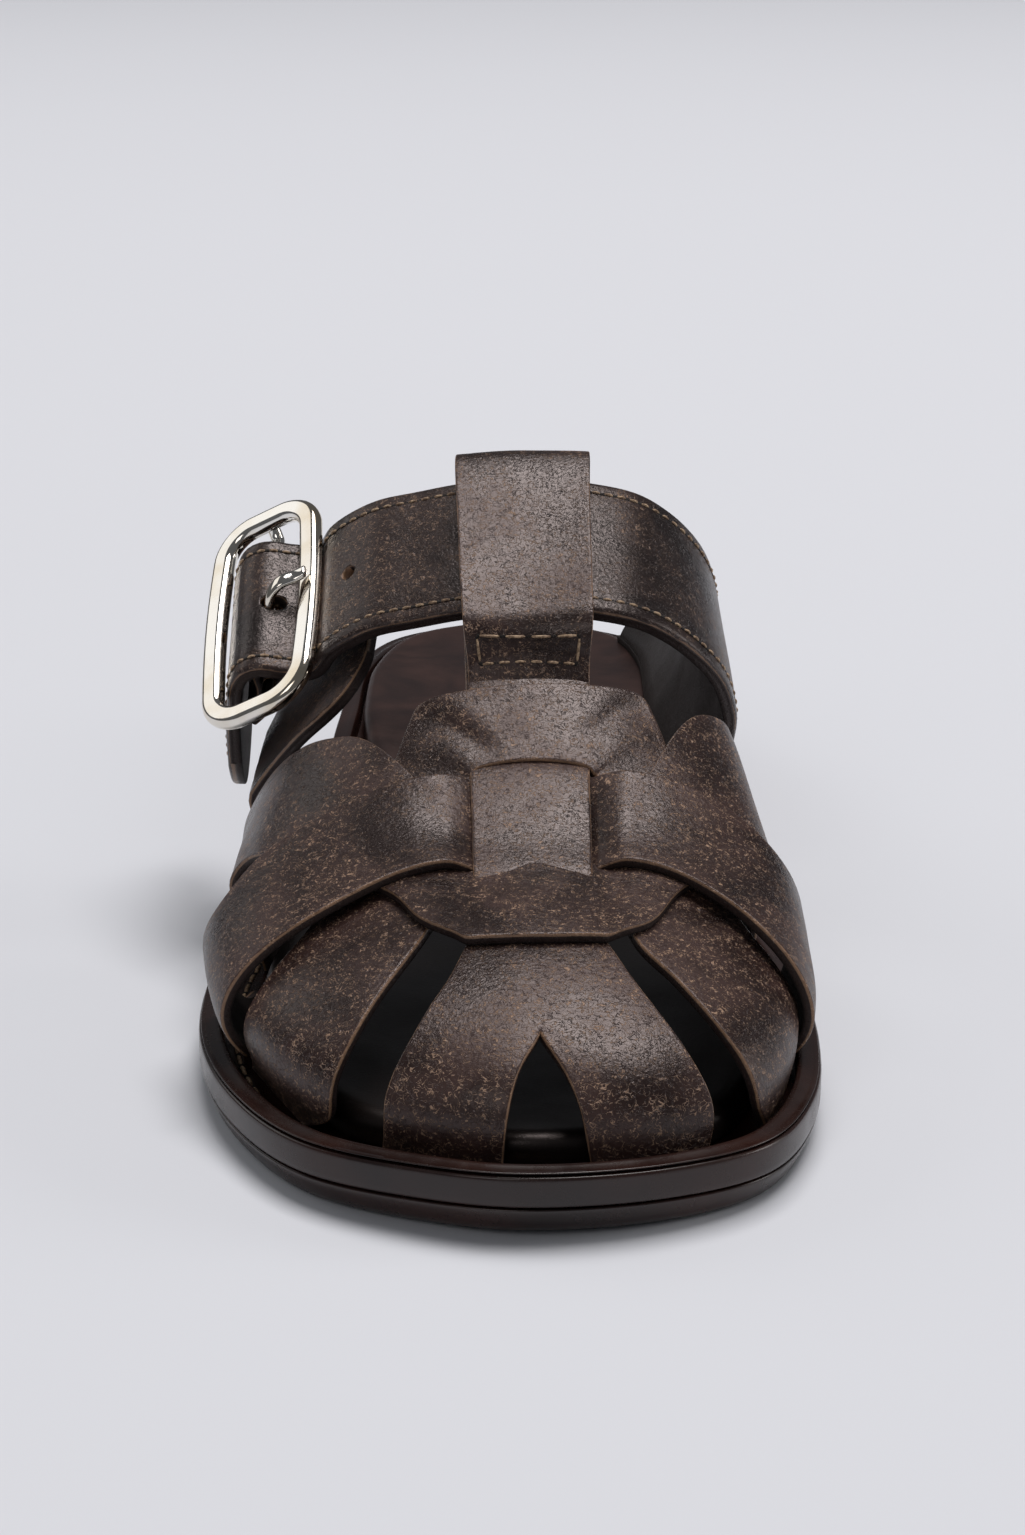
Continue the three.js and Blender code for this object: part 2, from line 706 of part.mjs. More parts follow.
// Past its own width the strap follows the inner side of the heel
function instepPoint(t, width, depth) {
  const { centre, across, normal } = instepFrame(t);
  const past = width - instepHalfWidth;
  const point = centre.addScaledVector(across, Math.min(width, instepHalfWidth));
  if (past > 0) {
    const from = point.y + soleLength / 2;
    const back = from + past;
    const shift = footOnSide(true, back).x - footOnSide(true, from).x;
    const slope = (footOnSide(true, back + 1).x - footOnSide(true, back - 1).x) / 2;
    const climb = rise(back) - rise(from) + heelStep * smooth((back - heelStepStart) / heelStepLength);
    point.add(new THREE.Vector3(shift, past, climb * Math.max(0, 1 - t / heelStepRows)));
    normal.y -= slope * normal.x;
    normal.normalize();
  }
  return point.addScaledVector(normal, -depth);
}

function instepStrap() {
  const steps = instepTip * 2;
  const tipRound = 0.8; // share of a row that the rounded tip takes
  const band = slab(steps, instepAcross, (a, b, side) => {
    const edge = b * 2 - 1;
    const t = a * instepTip;
    const pull = tipRound * smooth(t - instepTip + 1) * (1 - Math.sqrt(1 - 0.96 * edge * edge));
    const width = -instepHalfWidth + b * (2 * instepHalfWidth + reachAt(t));
    return instepPoint(t - pull, width, side ? 0 : strapLeather);
  });
  const holes = [holeRow, ...looseHoles].map((t) => {
    const { centre, normal } = instepFrame(t);
    const punch = bare(new THREE.CylinderGeometry(holeWidth / 2, holeWidth / 2, 12, 12));
    punch.applyQuaternion(new THREE.Quaternion().setFromUnitVectors(new THREE.Vector3(0, 1, 0), normal));
    return punch.translate(centre.x, centre.y, centre.z);
  });
  return cut(band, holes);
}

// The buckle's own frame: x along the strap, y across it, z away from the foot
const strapLean = THREE.MathUtils.degToRad(31.2);
const buckleTurn = THREE.MathUtils.degToRad(33);
const buckleCentre = place(-47.5, 138.6, 60.8);
const buckleAcross = new THREE.Vector3(0, Math.cos(strapLean), Math.sin(strapLean));
const downStrap = new THREE.Vector3(0, Math.sin(strapLean), -Math.cos(strapLean));
const buckleAlong = new THREE.Vector3(-Math.cos(buckleTurn), 0, 0).addScaledVector(downStrap, Math.sin(buckleTurn));
const buckleOut = buckleAcross.clone().cross(buckleAlong).normalize();

function buckleSpace(geometry) {
  const turn = new THREE.Matrix4().makeBasis(buckleAlong, buckleAcross, buckleOut);
  return outward(geometry.applyMatrix4(turn.setPosition(buckleCentre)));
}

// Middle line of the frame: a rounded rectangle whose long sides bow out
function frameLine(t) {
  const corners = [[1, 1], [-1, 1], [-1, -1], [1, -1]];
  const quarter = Math.floor(t * 4) % 4;
  const local = (t * 4) % 1;
  const turn = (Math.PI / 2) * (quarter + Math.min(local * 2, 1));
  const glide = Math.max(local * 2 - 1, 0);
  const [sx, sy] = corners[quarter];
  const [nx, ny] = corners[(quarter + 1) % 4];
  const x = (frameAlong / 2 - frameCorner) * (sx + (nx - sx) * glide) + frameCorner * Math.cos(turn);
  const y = (frameAcross / 2 - frameCorner) * (sy + (ny - sy) * glide) + frameCorner * Math.sin(turn);
  const bow = Math.sign(x) * frameBow * Math.cos((Math.PI * y) / (frameAcross + 2)) * Math.min(1, Math.abs(x) / 4);
  return new THREE.Vector3(x + bow, y, 0);
}

function wire(points, radius, steps, sides = 8) {
  const path = new THREE.CatmullRomCurve3(points.map((p) => new THREE.Vector3(...p)));
  const section = new THREE.Shape().absarc(0, 0, radius, 0, Math.PI * 2);
  return bare(new THREE.ExtrudeGeometry(section, { steps, extrudePath: path, curveSegments: sides }));
}

function buckleFrame() {
  const steps = 40;
  const sides = 8;
  const sections = Array.from({ length: steps }, (_, i) => {
    const centre = frameLine(i / steps);
    const along = frameLine((i + 0.1) / steps).sub(frameLine((i + steps - 0.1) / steps)).normalize();
    return Array.from({ length: sides }, (__, k) => {
      const turn = ((k + 0.5) / sides) * Math.PI * 2;
      const wide = (Math.cos(turn) * frameWide) / 2;
      return new THREE.Vector3(centre.x + along.y * wide, centre.y - along.x * wide, (Math.sin(turn) * frameThick) / 2);
    });
  });
  const rim = loft(sections, true);
  const end = frameAcross / 2;
  const bar = wire([[0, -end, 0], [0, -end + 2.2, -barSink * 0.8], [0, -end + 5.5, -barSink], [0, 0, -barSink],
    [0, end - 5.5, -barSink], [0, end - 2.2, -barSink * 0.8], [0, end, 0]], barWire, 14);
  return buckleSpace(joined([rim, bar]));
}

// The prong: an eye round the middle bar, up through the strap's hole, resting on the frame
const prongAcross = -1.1;

function bucklePin() {
  const eyeRadius = barWire + fit + prongWire;
  const eye = bare(new THREE.TorusGeometry(eyeRadius, prongWire, 6, 14));
  eye.rotateX(Math.PI / 2).translate(0, prongAcross, -barSink);
  const rest = frameThick / 2 + fit + prongWire;
  const frameBar = -frameAlong / 2 - frameBow;
  const pin = wire([
    [-0.6, prongAcross, -barSink + eyeRadius],
    [-1.3, prongAcross, 0.6],
    [-2.4, prongAcross, 3.1],
    [-4.2, prongAcross + 0.6, 4.8],
    [-6.8, prongAcross + 1.8, 4.6],
    [frameBar + 1.2, prongAcross + 3, rest + 0.45],
    [frameBar - 1.4, prongAcross + 3.6, rest],
  ], prongWire, 14, 6);
  return buckleSpace(joined([eye, pin]));
}

// The leather that wraps the middle bar and is stitched down on the strap below it
const chapeWidth = 28;
const chapeSlot = [-2.4, 3.4]; // open here for the prong
const chapeSlotDepth = 5;
const chapeRows = table(['x', 'z'], [
  [10.5, -12.6],
  [7, -11.4],
  [4, -9.8],
  [1.7, -7.0],
  [0.4, -5.9],
  [-1.4, -5.4],
  [-2.4, -3.5],
  [-1.4, -1.6],
  [0.6, -1.2],
  [2.3, -2.4],
  [3.7, -5.4],
  [6.6, -9.2],
  [10.5, -11.1],
]);

function buckleChape() {
  const steps = (chapeRows.length - 1) * 2;
  const band = slab(steps, 2, (a, b, side) => {
    const t = a * (chapeRows.length - 1);
    const row = rowAt(chapeRows, t);
    const before = rowAt(chapeRows, Math.max(t - 0.05, 0));
    const after = rowAt(chapeRows, Math.min(t + 0.05, chapeRows.length - 1));
    const length = Math.hypot(after.x - before.x, after.z - before.z);
    const off = (side - 0.5) * chapeLeather;
    const x = row.x - ((after.z - before.z) / length) * off;
    const z = row.z + ((after.x - before.x) / length) * off;
    return new THREE.Vector3(x, chapeWidth * (b - 0.5), z);
  });
  const slot = bare(new THREE.BoxGeometry(chapeSlotDepth * 2, chapeSlot[1] - chapeSlot[0], 30));
  slot.translate(0, (chapeSlot[0] + chapeSlot[1]) / 2, -barSink);
  return buckleSpace(cut(band, [slot]));
}

// The sole
function outsole() {
  return loft([ring(2.3, 0), ring(1.3, 1.2), ring(0.3, outsoleTop)]);
}

const heelBreast = 193;
function heelBlock() {
  const block = loft([flatRing(2.6, 0), flatRing(1.4, 1.6), ring(1.2, -fit)]);
  const front = bare(new THREE.BoxGeometry(200, 2 * heelBreast, 80));
  front.translate(0, -soleLength / 2, 0);
  return cut(block, [front]);
}

function midsole() {
  return loft([
    ring(0.3, outsoleTop + fit),
    ring(0, 6),
    ring(0, seamHeight - 0.4),
    ring(0.4, seamHeight),
    ring(3.0, seamHeight),
    ring(3.4, channelFloor),
  ]);
}

// The rim: a flange over the side wall, and a leg down into the channel
function rim() {
  return loft([
    ring(0.5, seamHeight + fit),
    ring(0.5, seamHeight + 0.65),
    ring(1.6, seamHeight + 0.55),
    ring(2.9, lipHeight),
    ring(3.9, lipHeight - 0.2),
    ring(4.3, channelFloor + fit),
    ring(3.7, channelFloor + fit),
    ring(3.5, seamHeight + fit),
  ], true);
}

const footbedInset = (back) => 10.3 - 5.3 * smooth((back - 188) / 20);
function footbed() {
  const at = (more) => (back) => footbedInset(back) + more;
  return loft([
    ring(at(0.5), channelFloor + fit),
    ring(at(0), channelFloor + 1.2),
    ring(at(0.1), footbedTop - 1.9),
    ring(at(0.7), footbedTop - 0.7),
    ring(at(1.9), footbedTop - 0.1),
    ring(at(3.2), footbedTop),
  ]);
}

const finishes = {
  upperLeather: new THREE.MeshStandardMaterial({ color: 0x43372f, roughness: 0.48, metalness: 0 }),
  strapHide: new THREE.MeshStandardMaterial({ color: 0x3d322c, roughness: 0.45, metalness: 0 }),
  soleRubber: new THREE.MeshStandardMaterial({ color: 0x2c221d, roughness: 0.5, metalness: 0 }),
  footbedHide: new THREE.MeshStandardMaterial({ color: 0x3a2f2a, roughness: 0.5, metalness: 0 }),
  polishedSteel: new THREE.MeshStandardMaterial({ color: 0xd0cfcc, roughness: 0.15, metalness: 1 }),
};

const shoe = new THREE.Group();
shoe.name = 'clog';

function add(name, geometry, material) {
  geometry.computeVertexNormals();
  const mesh = new THREE.Mesh(geometry, material);
  mesh.name = name;
  shoe.add(mesh);
}

add('outsole', outsole(), finishes.soleRubber);
add('heel', heelBlock(), finishes.soleRubber);
add('midsole', midsole(), finishes.soleRubber);
add('rim', rim(), finishes.soleRubber);
add('footbed', footbed(), finishes.footbedHide);
add('upper', upper(), finishes.upperLeather);
add('instep_strap', instepStrap(), finishes.strapHide);
add('buckle_strap', wovenStrap(anchorStrap, tabLeather), finishes.strapHide);
add('buckle_chape', buckleChape(), finishes.strapHide);
add('buckle_frame', buckleFrame(), finishes.polishedSteel);
add('buckle_prong', bucklePin(), finishes.polishedSteel);

export default shoe;
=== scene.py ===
import math

import bmesh
import bpy
import numpy as np
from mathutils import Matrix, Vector


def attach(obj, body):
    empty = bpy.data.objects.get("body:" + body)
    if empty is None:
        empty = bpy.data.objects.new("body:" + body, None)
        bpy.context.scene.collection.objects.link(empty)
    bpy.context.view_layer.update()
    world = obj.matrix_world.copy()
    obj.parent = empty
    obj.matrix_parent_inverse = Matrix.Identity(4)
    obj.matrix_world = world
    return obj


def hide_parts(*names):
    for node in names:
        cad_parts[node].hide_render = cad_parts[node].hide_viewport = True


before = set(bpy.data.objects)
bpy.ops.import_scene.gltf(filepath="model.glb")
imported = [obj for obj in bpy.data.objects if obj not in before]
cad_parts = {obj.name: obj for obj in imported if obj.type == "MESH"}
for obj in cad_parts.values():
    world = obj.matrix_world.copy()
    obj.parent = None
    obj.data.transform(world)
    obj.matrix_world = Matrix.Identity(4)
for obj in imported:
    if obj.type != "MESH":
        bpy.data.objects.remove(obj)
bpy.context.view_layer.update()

# Right-foot leather clog. Shapes are worked out in millimetres and become metres in meshFrom.
# Places on the shoe are x to the inner side, back behind the toe, and height.
# Places in the flat pattern are across from the middle line and along behind the toe.
millimetre = 0.001

sole = {
    "length": 270,
    "sideShift": 3.4,
    "toeTip": 3,
    "heelLift": 10,
    "liftStart": 112,
    "liftLength": 88,
    "toeSpring": 1.8,
    "springLength": 30,
    "outsoleTop": 4.3,
    "channelFloor": 6.8,
    "seamHeight": 9.8,
    "lipHeight": 10.8,
    "footbedTop": 12.8,
    "fit": 0.35,
    "outlineSteps": 12,
}

# back, outer side, inner side
outlineRows = np.array([
    [4, 14.2, 23.4], [14.5, 32.9, 40.1], [33, 45.7, 48.8], [55, 52.8, 51.6],
    [80, 53.9, 50.8], [105, 50.4, 46.5], [132, 44.5, 40.5], [165, 39.5, 36.6],
    [200, 37.2, 36], [232, 36, 35.3], [256, 28.5, 28.5], [267.5, 14, 14],
])


# Soft step from 0 to 1
def smooth(t):
    c = np.clip(t, 0, 1)
    return c * c * (3 - 2 * c)


# Rows read at a fractional row, along a smooth spline
def rowAt(rows, t):
    last = len(rows) - 1
    i = np.clip(np.floor(t).astype(int), 0, last - 1)
    f = (t - i)[..., None]
    p0, p1, p2, p3 = (rows[np.clip(i + k, 0, last)] for k in (-1, 0, 1, 2))
    return p1 + 0.5 * f * (p2 - p0 + f * (2 * p0 - 5 * p1 + 4 * p2 - p3 + f * (3 * (p1 - p2) + p3 - p0)))


# One column read at a distance behind the toe, without overshoot
def columnAt(rows, column, back):
    x, y = rows[:, 0], rows[:, column]
    slope = np.diff(y) / np.diff(x)
    before, after = slope[:-1], slope[1:]
    total = np.where(before * after > 0, before + after, 1)
    inside = np.where(before * after > 0, 2 * before * after / total, 0)
    tangent = np.concatenate([slope[:1], inside, slope[-1:]])
    back = np.clip(back, x[0], x[-1])
    i = np.clip(np.searchsorted(x, back, side="right") - 1, 0, len(x) - 2)
    width = x[i + 1] - x[i]
    t = (back - x[i]) / width
    return ((2 * t**3 - 3 * t**2 + 1) * y[i] + (t**3 - 2 * t**2 + t) * width * tangent[i]
            + (3 * t**2 - 2 * t**3) * y[i + 1] + (t**3 - t**2) * width * tangent[i + 1])


# Height that the sole gains over its flat forefoot
def rise(back):
    lift = sole["heelLift"] * smooth((back - sole["liftStart"]) / sole["liftLength"])
    return lift + sole["toeSpring"] * np.maximum(0, 1 - back / sole["springLength"]) ** 2


def soleOutline():
    outer = np.c_[-outlineRows[:, 1], outlineRows[:, 0]]
    inner = np.c_[outlineRows[:, 2], outlineRows[:, 0]][::-1]
    knots = np.vstack([[[sole["toeTip"], 0]], outer, [[0, sole["length"]]], inner])
    count = len(knots)
    looped = np.vstack([knots[-1:], knots, knots[:2]])
    t = np.arange(count * sole["outlineSteps"]) / sole["outlineSteps"]
    return rowAt(looped, t + 1)


outline = soleOutline()


# The outline moved in by a distance, or by one that depends on the place
def insetOutline(inset):
    chord = np.roll(outline, -1, 0) - np.roll(outline, 1, 0)
    distance = inset(outline[:, 1], outline[:, 0]) if callable(inset) else inset
    share = distance / np.linalg.norm(chord, axis=1)
    return np.c_[outline[:, 0] + chord[:, 1] * share, outline[:, 1] - chord[:, 0] * share]


def place(x, back, z):
    x, back, z = np.broadcast_arrays(x, back, z)
    return np.stack([x + sole["sideShift"], back - sole["length"] / 2, z], axis=-1).astype(float)


def behindToe(point):
    return point[..., 1] + sole["length"] / 2


def ring(inset, height):
    moved = insetOutline(inset)
    return place(moved[:, 0], moved[:, 1], height + rise(moved[:, 1]))


# The last that the straps are shaped over
last = {
    "pole": 52.0,  # the sections fan out round this place at the toe and run straight across behind it
    "fanOverlap": 12,
    "inset": 9.6,
    "innerGain": 2.2,
    "gainStart": 8,
    "gainWidth": 22,
    "shoulderShare": 0.72,
    "blend": 4.0,  # half the width in which the outer side's columns turn into the inner side's
    "reach": 60.0,  # far enough out to read a section's whole length
    "footMargin": 0.01,
    "core": (3, 14),
    "coreSpan": (35, 200),
    "normalStep": 0.6,
    "block": 20000,
    "ribSteps": 40,
    # back, ridgeX, ridgeZ, swellOut, swellIn, wideOut, wideIn, flatOut, flatIn
    "rows": np.array([
        [0, 4.0, 31.5, 0.6, 0.2, 14, 14, 1, 1],
        [20, 4.0, 32.0, 2.0, 0.6, 16, 15, 1, 1],
        [35, 4.0, 33.2, 3.0, 1.4, 18, 16, 1, 1],
        [50, 4.0, 34.6, 3.4, 1.5, 20, 18, 1.1, 1],
        [64, 3.8, 37.4, 3.5, 0.7, 23, 21, 1.3, 1],
        [82, 3.4, 45.4, 4.0, 0.6, 25, 26, 1.42, 1],
        [98, 2.9, 54.6, 5.2, 0.2, 27, 32, 1.5, 1],
        [112, 2.6, 63.4, 8.0, 0.2, 28, 38, 1.7, 1.06],
        [122, 2.4, 69.8, 10.4, 2.0, 29, 42, 2.0, 1.1],
        [142, 2.0, 82.0, 13.0, 4.8, 30, 47, 2.0, 1.16],
        [160, 2.0, 90.0, 14.5, 5.8, 30, 48, 2.0, 1.16],
    ]),
}
pole = last["pole"]
poleX = float(columnAt(last["rows"], 1, np.array([pole]))[0])
lastFoot = insetOutline(
    lambda back, x: last["inset"] - last["innerGain"] * smooth((x - last["gainStart"]) / last["gainWidth"]))
half = len(lastFoot) // 2
outerFoot = lastFoot[: half + 1]
innerFoot = np.vstack([lastFoot[half:], lastFoot[:1]])[::-1]


# Where the wall stands on the sole: behind the pole by distance, ahead of it by direction
def footAt(across, along):
    direction = np.arctan2(across, np.maximum(pole - along, 0))
    front = lastFoot[lastFoot[:, 1] < pole + last["fanOverlap"]]
    angle = np.arctan2(front[:, 0] - poleX, pole - front[:, 1])
    order = np.argsort(angle)
    fanX = np.interp(direction, angle[order], front[order, 0])
    fanBack = np.interp(direction, angle[order], front[order, 1])
    sideX = np.where(
        across >= 0,
        np.interp(along, innerFoot[:, 1], innerFoot[:, 0]),
        np.interp(along, outerFoot[:, 1], outerFoot[:, 0]),
    )
    behind = along >= pole
    return np.where(behind, sideX, fanX), np.where(behind, along, fanBack)


def ribFor(across, along):
    footX, footBack = footAt(across, along)
    topX = np.where(along < pole, poleX, columnAt(last["rows"], 1, along))
    topBack = np.maximum(along, pole)
    inner = smooth((across + last["blend"]) / (2 * last["blend"]))

    def pick(out, into):
        outer = columnAt(last["rows"], out, footBack)
        return outer + (columnAt(last["rows"], into, footBack) - outer) * inner

    reach = np.hypot(footX - topX, footBack - topBack)
    lift = rise(footBack)
    return {
        "topX": topX, "topBack": topBack, "reach": reach,
        "dirX": (footX - topX) / reach, "dirBack": (footBack - topBack) / reach,
        "swell": pick(3, 4), "wide": pick(5, 6) + lift, "flat": pick(7, 8),
        "floor": sole["channelFloor"] + sole["fit"] + lift,
    }


# Point on a section of the last: t runs from the ridge over the shoulder to the foot of the wall
def ribPoint(rib, t):
    share = last["shoulderShare"]
    turn = np.minimum(t / share, 1) * math.pi / 2
    low = np.maximum(0, (t - share) / (1 - share))
    out = (rib["reach"] + rib["swell"]) * np.sin(turn) - rib["swell"] * smooth(low)
    x = rib["topX"] + rib["dirX"] * out
    back = rib["topBack"] + rib["dirBack"] * out
    ridge = columnAt(last["rows"], 2, back)
    drop = np.maximum(np.cos(turn), 0) ** rib["flat"]
    z = rib["wide"] + (ridge - rib["wide"]) * drop - (rib["wide"] - rib["floor"]) * low
    return place(x, back, z)


def ribRun(rib):
    t = np.linspace(0, 1, last["ribSteps"] + 1)[None, :]
    points = ribPoint({key: value[:, None] for key, value in rib.items()}, t)
    steps = np.linalg.norm(np.diff(points, axis=1), axis=2)
    return np.concatenate([np.zeros((len(steps), 1)), np.cumsum(steps, axis=1)], axis=1)


# Point on the last for a place in the flat pattern
def onLast(across, along):
    rib = ribFor(across, along)
    run = ribRun(rib)
    left = np.where(along < pole, np.hypot(across, pole - along), np.abs(across))
    k = np.clip((run < left[:, None]).sum(1) - 1, 0, last["ribSteps"] - 1)
    row = np.arange(len(k))
    t = (k + (left - run[row, k]) / (run[row, k + 1] - run[row, k])) / last["ribSteps"]
    return ribPoint(rib, t)


# The same, stood off the last by a height
def lifted(across, along, height):
    shape = np.broadcast(across, along, height).shape
    given = (np.broadcast_to(v, shape) for v in (across, along, height))
    across, along, height = (v.ravel().astype(float) for v in given)
    made = np.empty((len(across), 3))
    step, block = last["normalStep"], last["block"]
    for start in range(0, len(across), block):
        a, b, h = (v[start:start + block] for v in (across, along, height))
        point = onLast(a, b)
        side = onLast(a + step, b) - onLast(a - step, b)
        back = onLast(a, b + step) - onLast(a, b - step)
        normal = np.cross(side, back)
        normal /= np.linalg.norm(normal, axis=1)[:, None]
        core = place(last["core"][0], np.clip(behindToe(point), *last["coreSpan"]), last["core"][1])
        normal *= np.where(np.einsum("ij,ij->i", normal, point - core) < 0, -1, 1)[:, None]
        point = point + normal * h[:, None]
        floor = sole["channelFloor"] + sole["fit"] + rise(behindToe(point))
        point[:, 2] = np.maximum(point[:, 2], floor)
        made[start:start + block] = point
    return made.reshape(shape + (3,))


# Pattern place where a strap meets the sole
def landingByAngle(degrees):
    angle = math.radians(degrees)
    reach = last["reach"]
    rib = ribFor(np.array([math.sin(angle) * reach]), np.array([pole - math.cos(angle) * reach]))
    length = ribRun(rib)[0, -1] - last["footMargin"]
    return math.sin(angle) * length, pole - math.cos(angle) * length


def landing(inner, back):
    side = 1.0 if inner else -1.0
    if back >= pole:
        rib = ribFor(np.array([side * last["reach"]]), np.array([float(back)]))
        return side * (ribRun(rib)[0, -1] - last["footMargin"]), back
    foot = innerFoot if inner else outerFoot
    x = np.interp(back, foot[:, 1], foot[:, 0])
    return landingByAngle(math.degrees(math.atan2(x - poleX, pole - back)))


# Pattern rows with a strap's ends added, and with the layers at each edge
def withLandings(strap):
    rows = [list(row) for row in strap["rows"]]
    for key, inner in (("outerLanding", False), ("innerLanding", True)):
        if key in strap:
            rear, front, layer = strap[key]
            end = [*landing(inner, rear), *landing(inner, front), layer]
            rows = rows + [end] if inner else [end] + rows
    return np.array([row if len(row) == 6 else [*row, row[-1]] for row in rows], float)


print("last ready")


# Meshes
def meshFrom(name, points, faces, attributes=None):
    mesh = bpy.data.meshes.new(name)
    mesh.from_pydata((points * millimetre).tolist(), [], faces)
    for key, values in (attributes or {}).items():
        layer = mesh.attributes.new(key, "FLOAT", "POINT")
        layer.data.foreach_set("value", np.ravel(values).astype(np.float32))
    mesh.shade_smooth()
    piece = bpy.data.objects.new(name, mesh)
    bpy.context.scene.collection.objects.link(piece)
    tidyMesh(piece)
    return piece


# Welds, drops the faces inside a seam and turns the rest outwards
def tidyMesh(piece, weld=1e-7, seamKey=None):
    form = bmesh.new()
    form.from_mesh(piece.data)
    bmesh.ops.remove_doubles(form, verts=form.verts, dist=weld)
    if seamKey:
        layer = form.verts.layers.float[seamKey]
        inside = [f for f in form.faces if all(v[layer] > 0.5 for v in f.verts)]
        bmesh.ops.delete(form, geom=inside, context="FACES_ONLY")
    bmesh.ops.dissolve_degenerate(form, edges=form.edges, dist=weld)
    bmesh.ops.recalc_face_normals(form, faces=form.faces)
    form.to_mesh(piece.data)
    form.free()
    piece.data.shade_smooth()


# Quads between neighbouring sections; closed also joins the last section to the first
def bands(count, size, closed=False):
    index = np.arange(count * size).reshape(count, size)
    low = index if closed else index[:-1]
    high = np.roll(index, -1, 0) if closed else index[1:]
    turned = lambda grid: np.roll(grid, -1, 1)
    return np.stack([low, turned(low), turned(high), high], axis=-1).reshape(-1, 4).tolist()


def capped(count, size):
    return bands(count, size) + [list(range(size)), list(range((count - 1) * size, count * size))]


def bodyOf(name, sections, closed=False, attributes=None):
    count, size = sections.shape[:2]
    faces = bands(count, size, True) if closed else capped(count, size)
    return meshFrom(name, sections.reshape(-1, 3), faces, attributes)


# Rings of the sole, closed over along its middle
def soleBody(name, rings, closed=False):
    rings = np.array(rings)
    count, size = rings.shape[:2]
    points, faces = rings.reshape(-1, 3), bands(count, size, closed)
    if not closed:
        middle = np.arange(size // 2 + 1)
        for base in (0, (count - 1) * size):
            spine = (points[base + middle] + points[base + (size - middle) % size]) / 2
            start = len(points)
            points = np.vstack([points, spine])
            for i in range(size // 2):
                faces.append([base + i, base + i + 1, start + i + 1, start + i])
                faces.append([base + (size - i) % size, base + size - i - 1, start + i + 1, start + i])
    return meshFrom(name, points, faces)


def joinPieces(name, pieces):
    with bpy.context.temp_override(active_object=pieces[0], selected_editable_objects=pieces):
        bpy.ops.object.join()
    pieces[0].name = name
    pieces[0].data.name = name
    return pieces[0]


def cutWith(piece, cutters):
    for cutter in cutters:
        change = piece.modifiers.new("cut", "BOOLEAN")
        change.object = cutter
        change.operation = "DIFFERENCE"
        change.solver = "EXACT"
        with bpy.context.temp_override(object=piece, active_object=piece):
            bpy.ops.object.modifier_apply(modifier=change.name)
        bpy.data.objects.remove(cutter)
    piece.data.shade_smooth()
    return piece


def settle(piece, material, nodes=()):
    piece.data.materials.clear()
    piece.data.materials.append(material)
    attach(piece, "root")
    if nodes:
        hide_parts(*nodes)
    return piece


# Leather: a piece is a surface function of its row, its share across and its height in the leather
cutEdge = {
    "cornerRadius": 0.38,
    "backRadius": 0.3,
    "calmWidth": 3,  # the hide lies flat towards its cut edges
    "pressWidth": 1.8,
    "near": np.array([0, 0.03, 0.1, 0.2, 0.34, 0.6, 1.1, 1.7]),
    # bulge of the cut side, at shares of the thickness
    "single": [(0.05, 0.66), (0.10, 0.5), (0.06, 0.3)],
    "lined": [(0.06, 0.74), (0.10, 0.62), (-0.06, 0.5), (0.10, 0.38), (0.05, 0.24)],
}


def cornerDrop(edge, radius):
    return radius * (1 - np.sqrt(1 - (1 - np.minimum(edge / radius, 1)) ** 2))


def stations(length, spacing, near):
    count = max(3, round((length - 2 * near[-1]) / spacing))
    middle = np.linspace(near[-1], length - near[-1], count)
    return np.concatenate([near[:-1], middle, length - near[:-1][::-1]])


def lineRun(points):
    return np.concatenate([[0], np.cumsum(np.linalg.norm(np.diff(points, axis=0), axis=1))])


def evenRows(surface, lastRow, spacing):
    rough = np.linspace(0, lastRow, 240)
    run = lineRun(surface(rough, np.full_like(rough, 0.5), np.zeros_like(rough)))
    return np.interp(stations(run[-1], spacing, cutEdge["near"]), run, rough)


crease = {"ridge": 0.35, "ridgeAway": 1.9, "endFade": 0.5}
hideWaves = {"along": 4.1, "across": 3.3, "share": 0.6, "slantAlong": 7.3, "slantAcross": 5.9}


# Soft troughs with low ridges beside them: start along, start across, end along, end across, depth, spread
def creaseRelief(along, across, creases):
    relief = np.zeros(np.broadcast(along, across).shape)
    for startAlong, startAcross, endAlong, endAcross, depth, spread in creases:
        run = np.array([endAlong - startAlong, endAcross - startAcross], float)
        size = np.hypot(*run)
        t = ((along - startAlong) * run[0] + (across - startAcross) * run[1]) / size**2
        c = np.clip(t, 0, 1)
        off = np.hypot(along - startAlong - run[0] * c, across - startAcross - run[1] * c)
        fade = np.sin(np.pi * np.clip(t, 0.02, 0.98)) ** crease["endFade"]
        relief += -depth * np.exp(-(off / spread) ** 2) * fade
        beside = (off - crease["ridgeAway"] * spread) / spread
        relief += crease["ridge"] * depth * np.exp(-beside ** 2) * fade
    return relief


# Slow unevenness of a hide
def hideWave(along, across, seed):
    wave = np.sin(along / hideWaves["along"] + seed) * np.sin(across / hideWaves["across"] + 1.7 * seed)
    slant = along / hideWaves["slantAlong"] - across / hideWaves["slantAcross"]
    return hideWaves["share"] * wave + np.sin(slant + 2.3 * seed)


# Places over the width of each row: close together at the cut edges, even between them
def acrossStations(width, count):
    near = cutEdge["near"]
    squeeze = np.minimum(1, width / (2.4 * near[-1]))
    edges = near[None, :-1] * squeeze
    middle = near[-1] * squeeze + (width - 2 * near[-1] * squeeze) * np.linspace(0, 1, count)
    return np.concatenate([edges, middle, width - edges[:, ::-1]], axis=1)


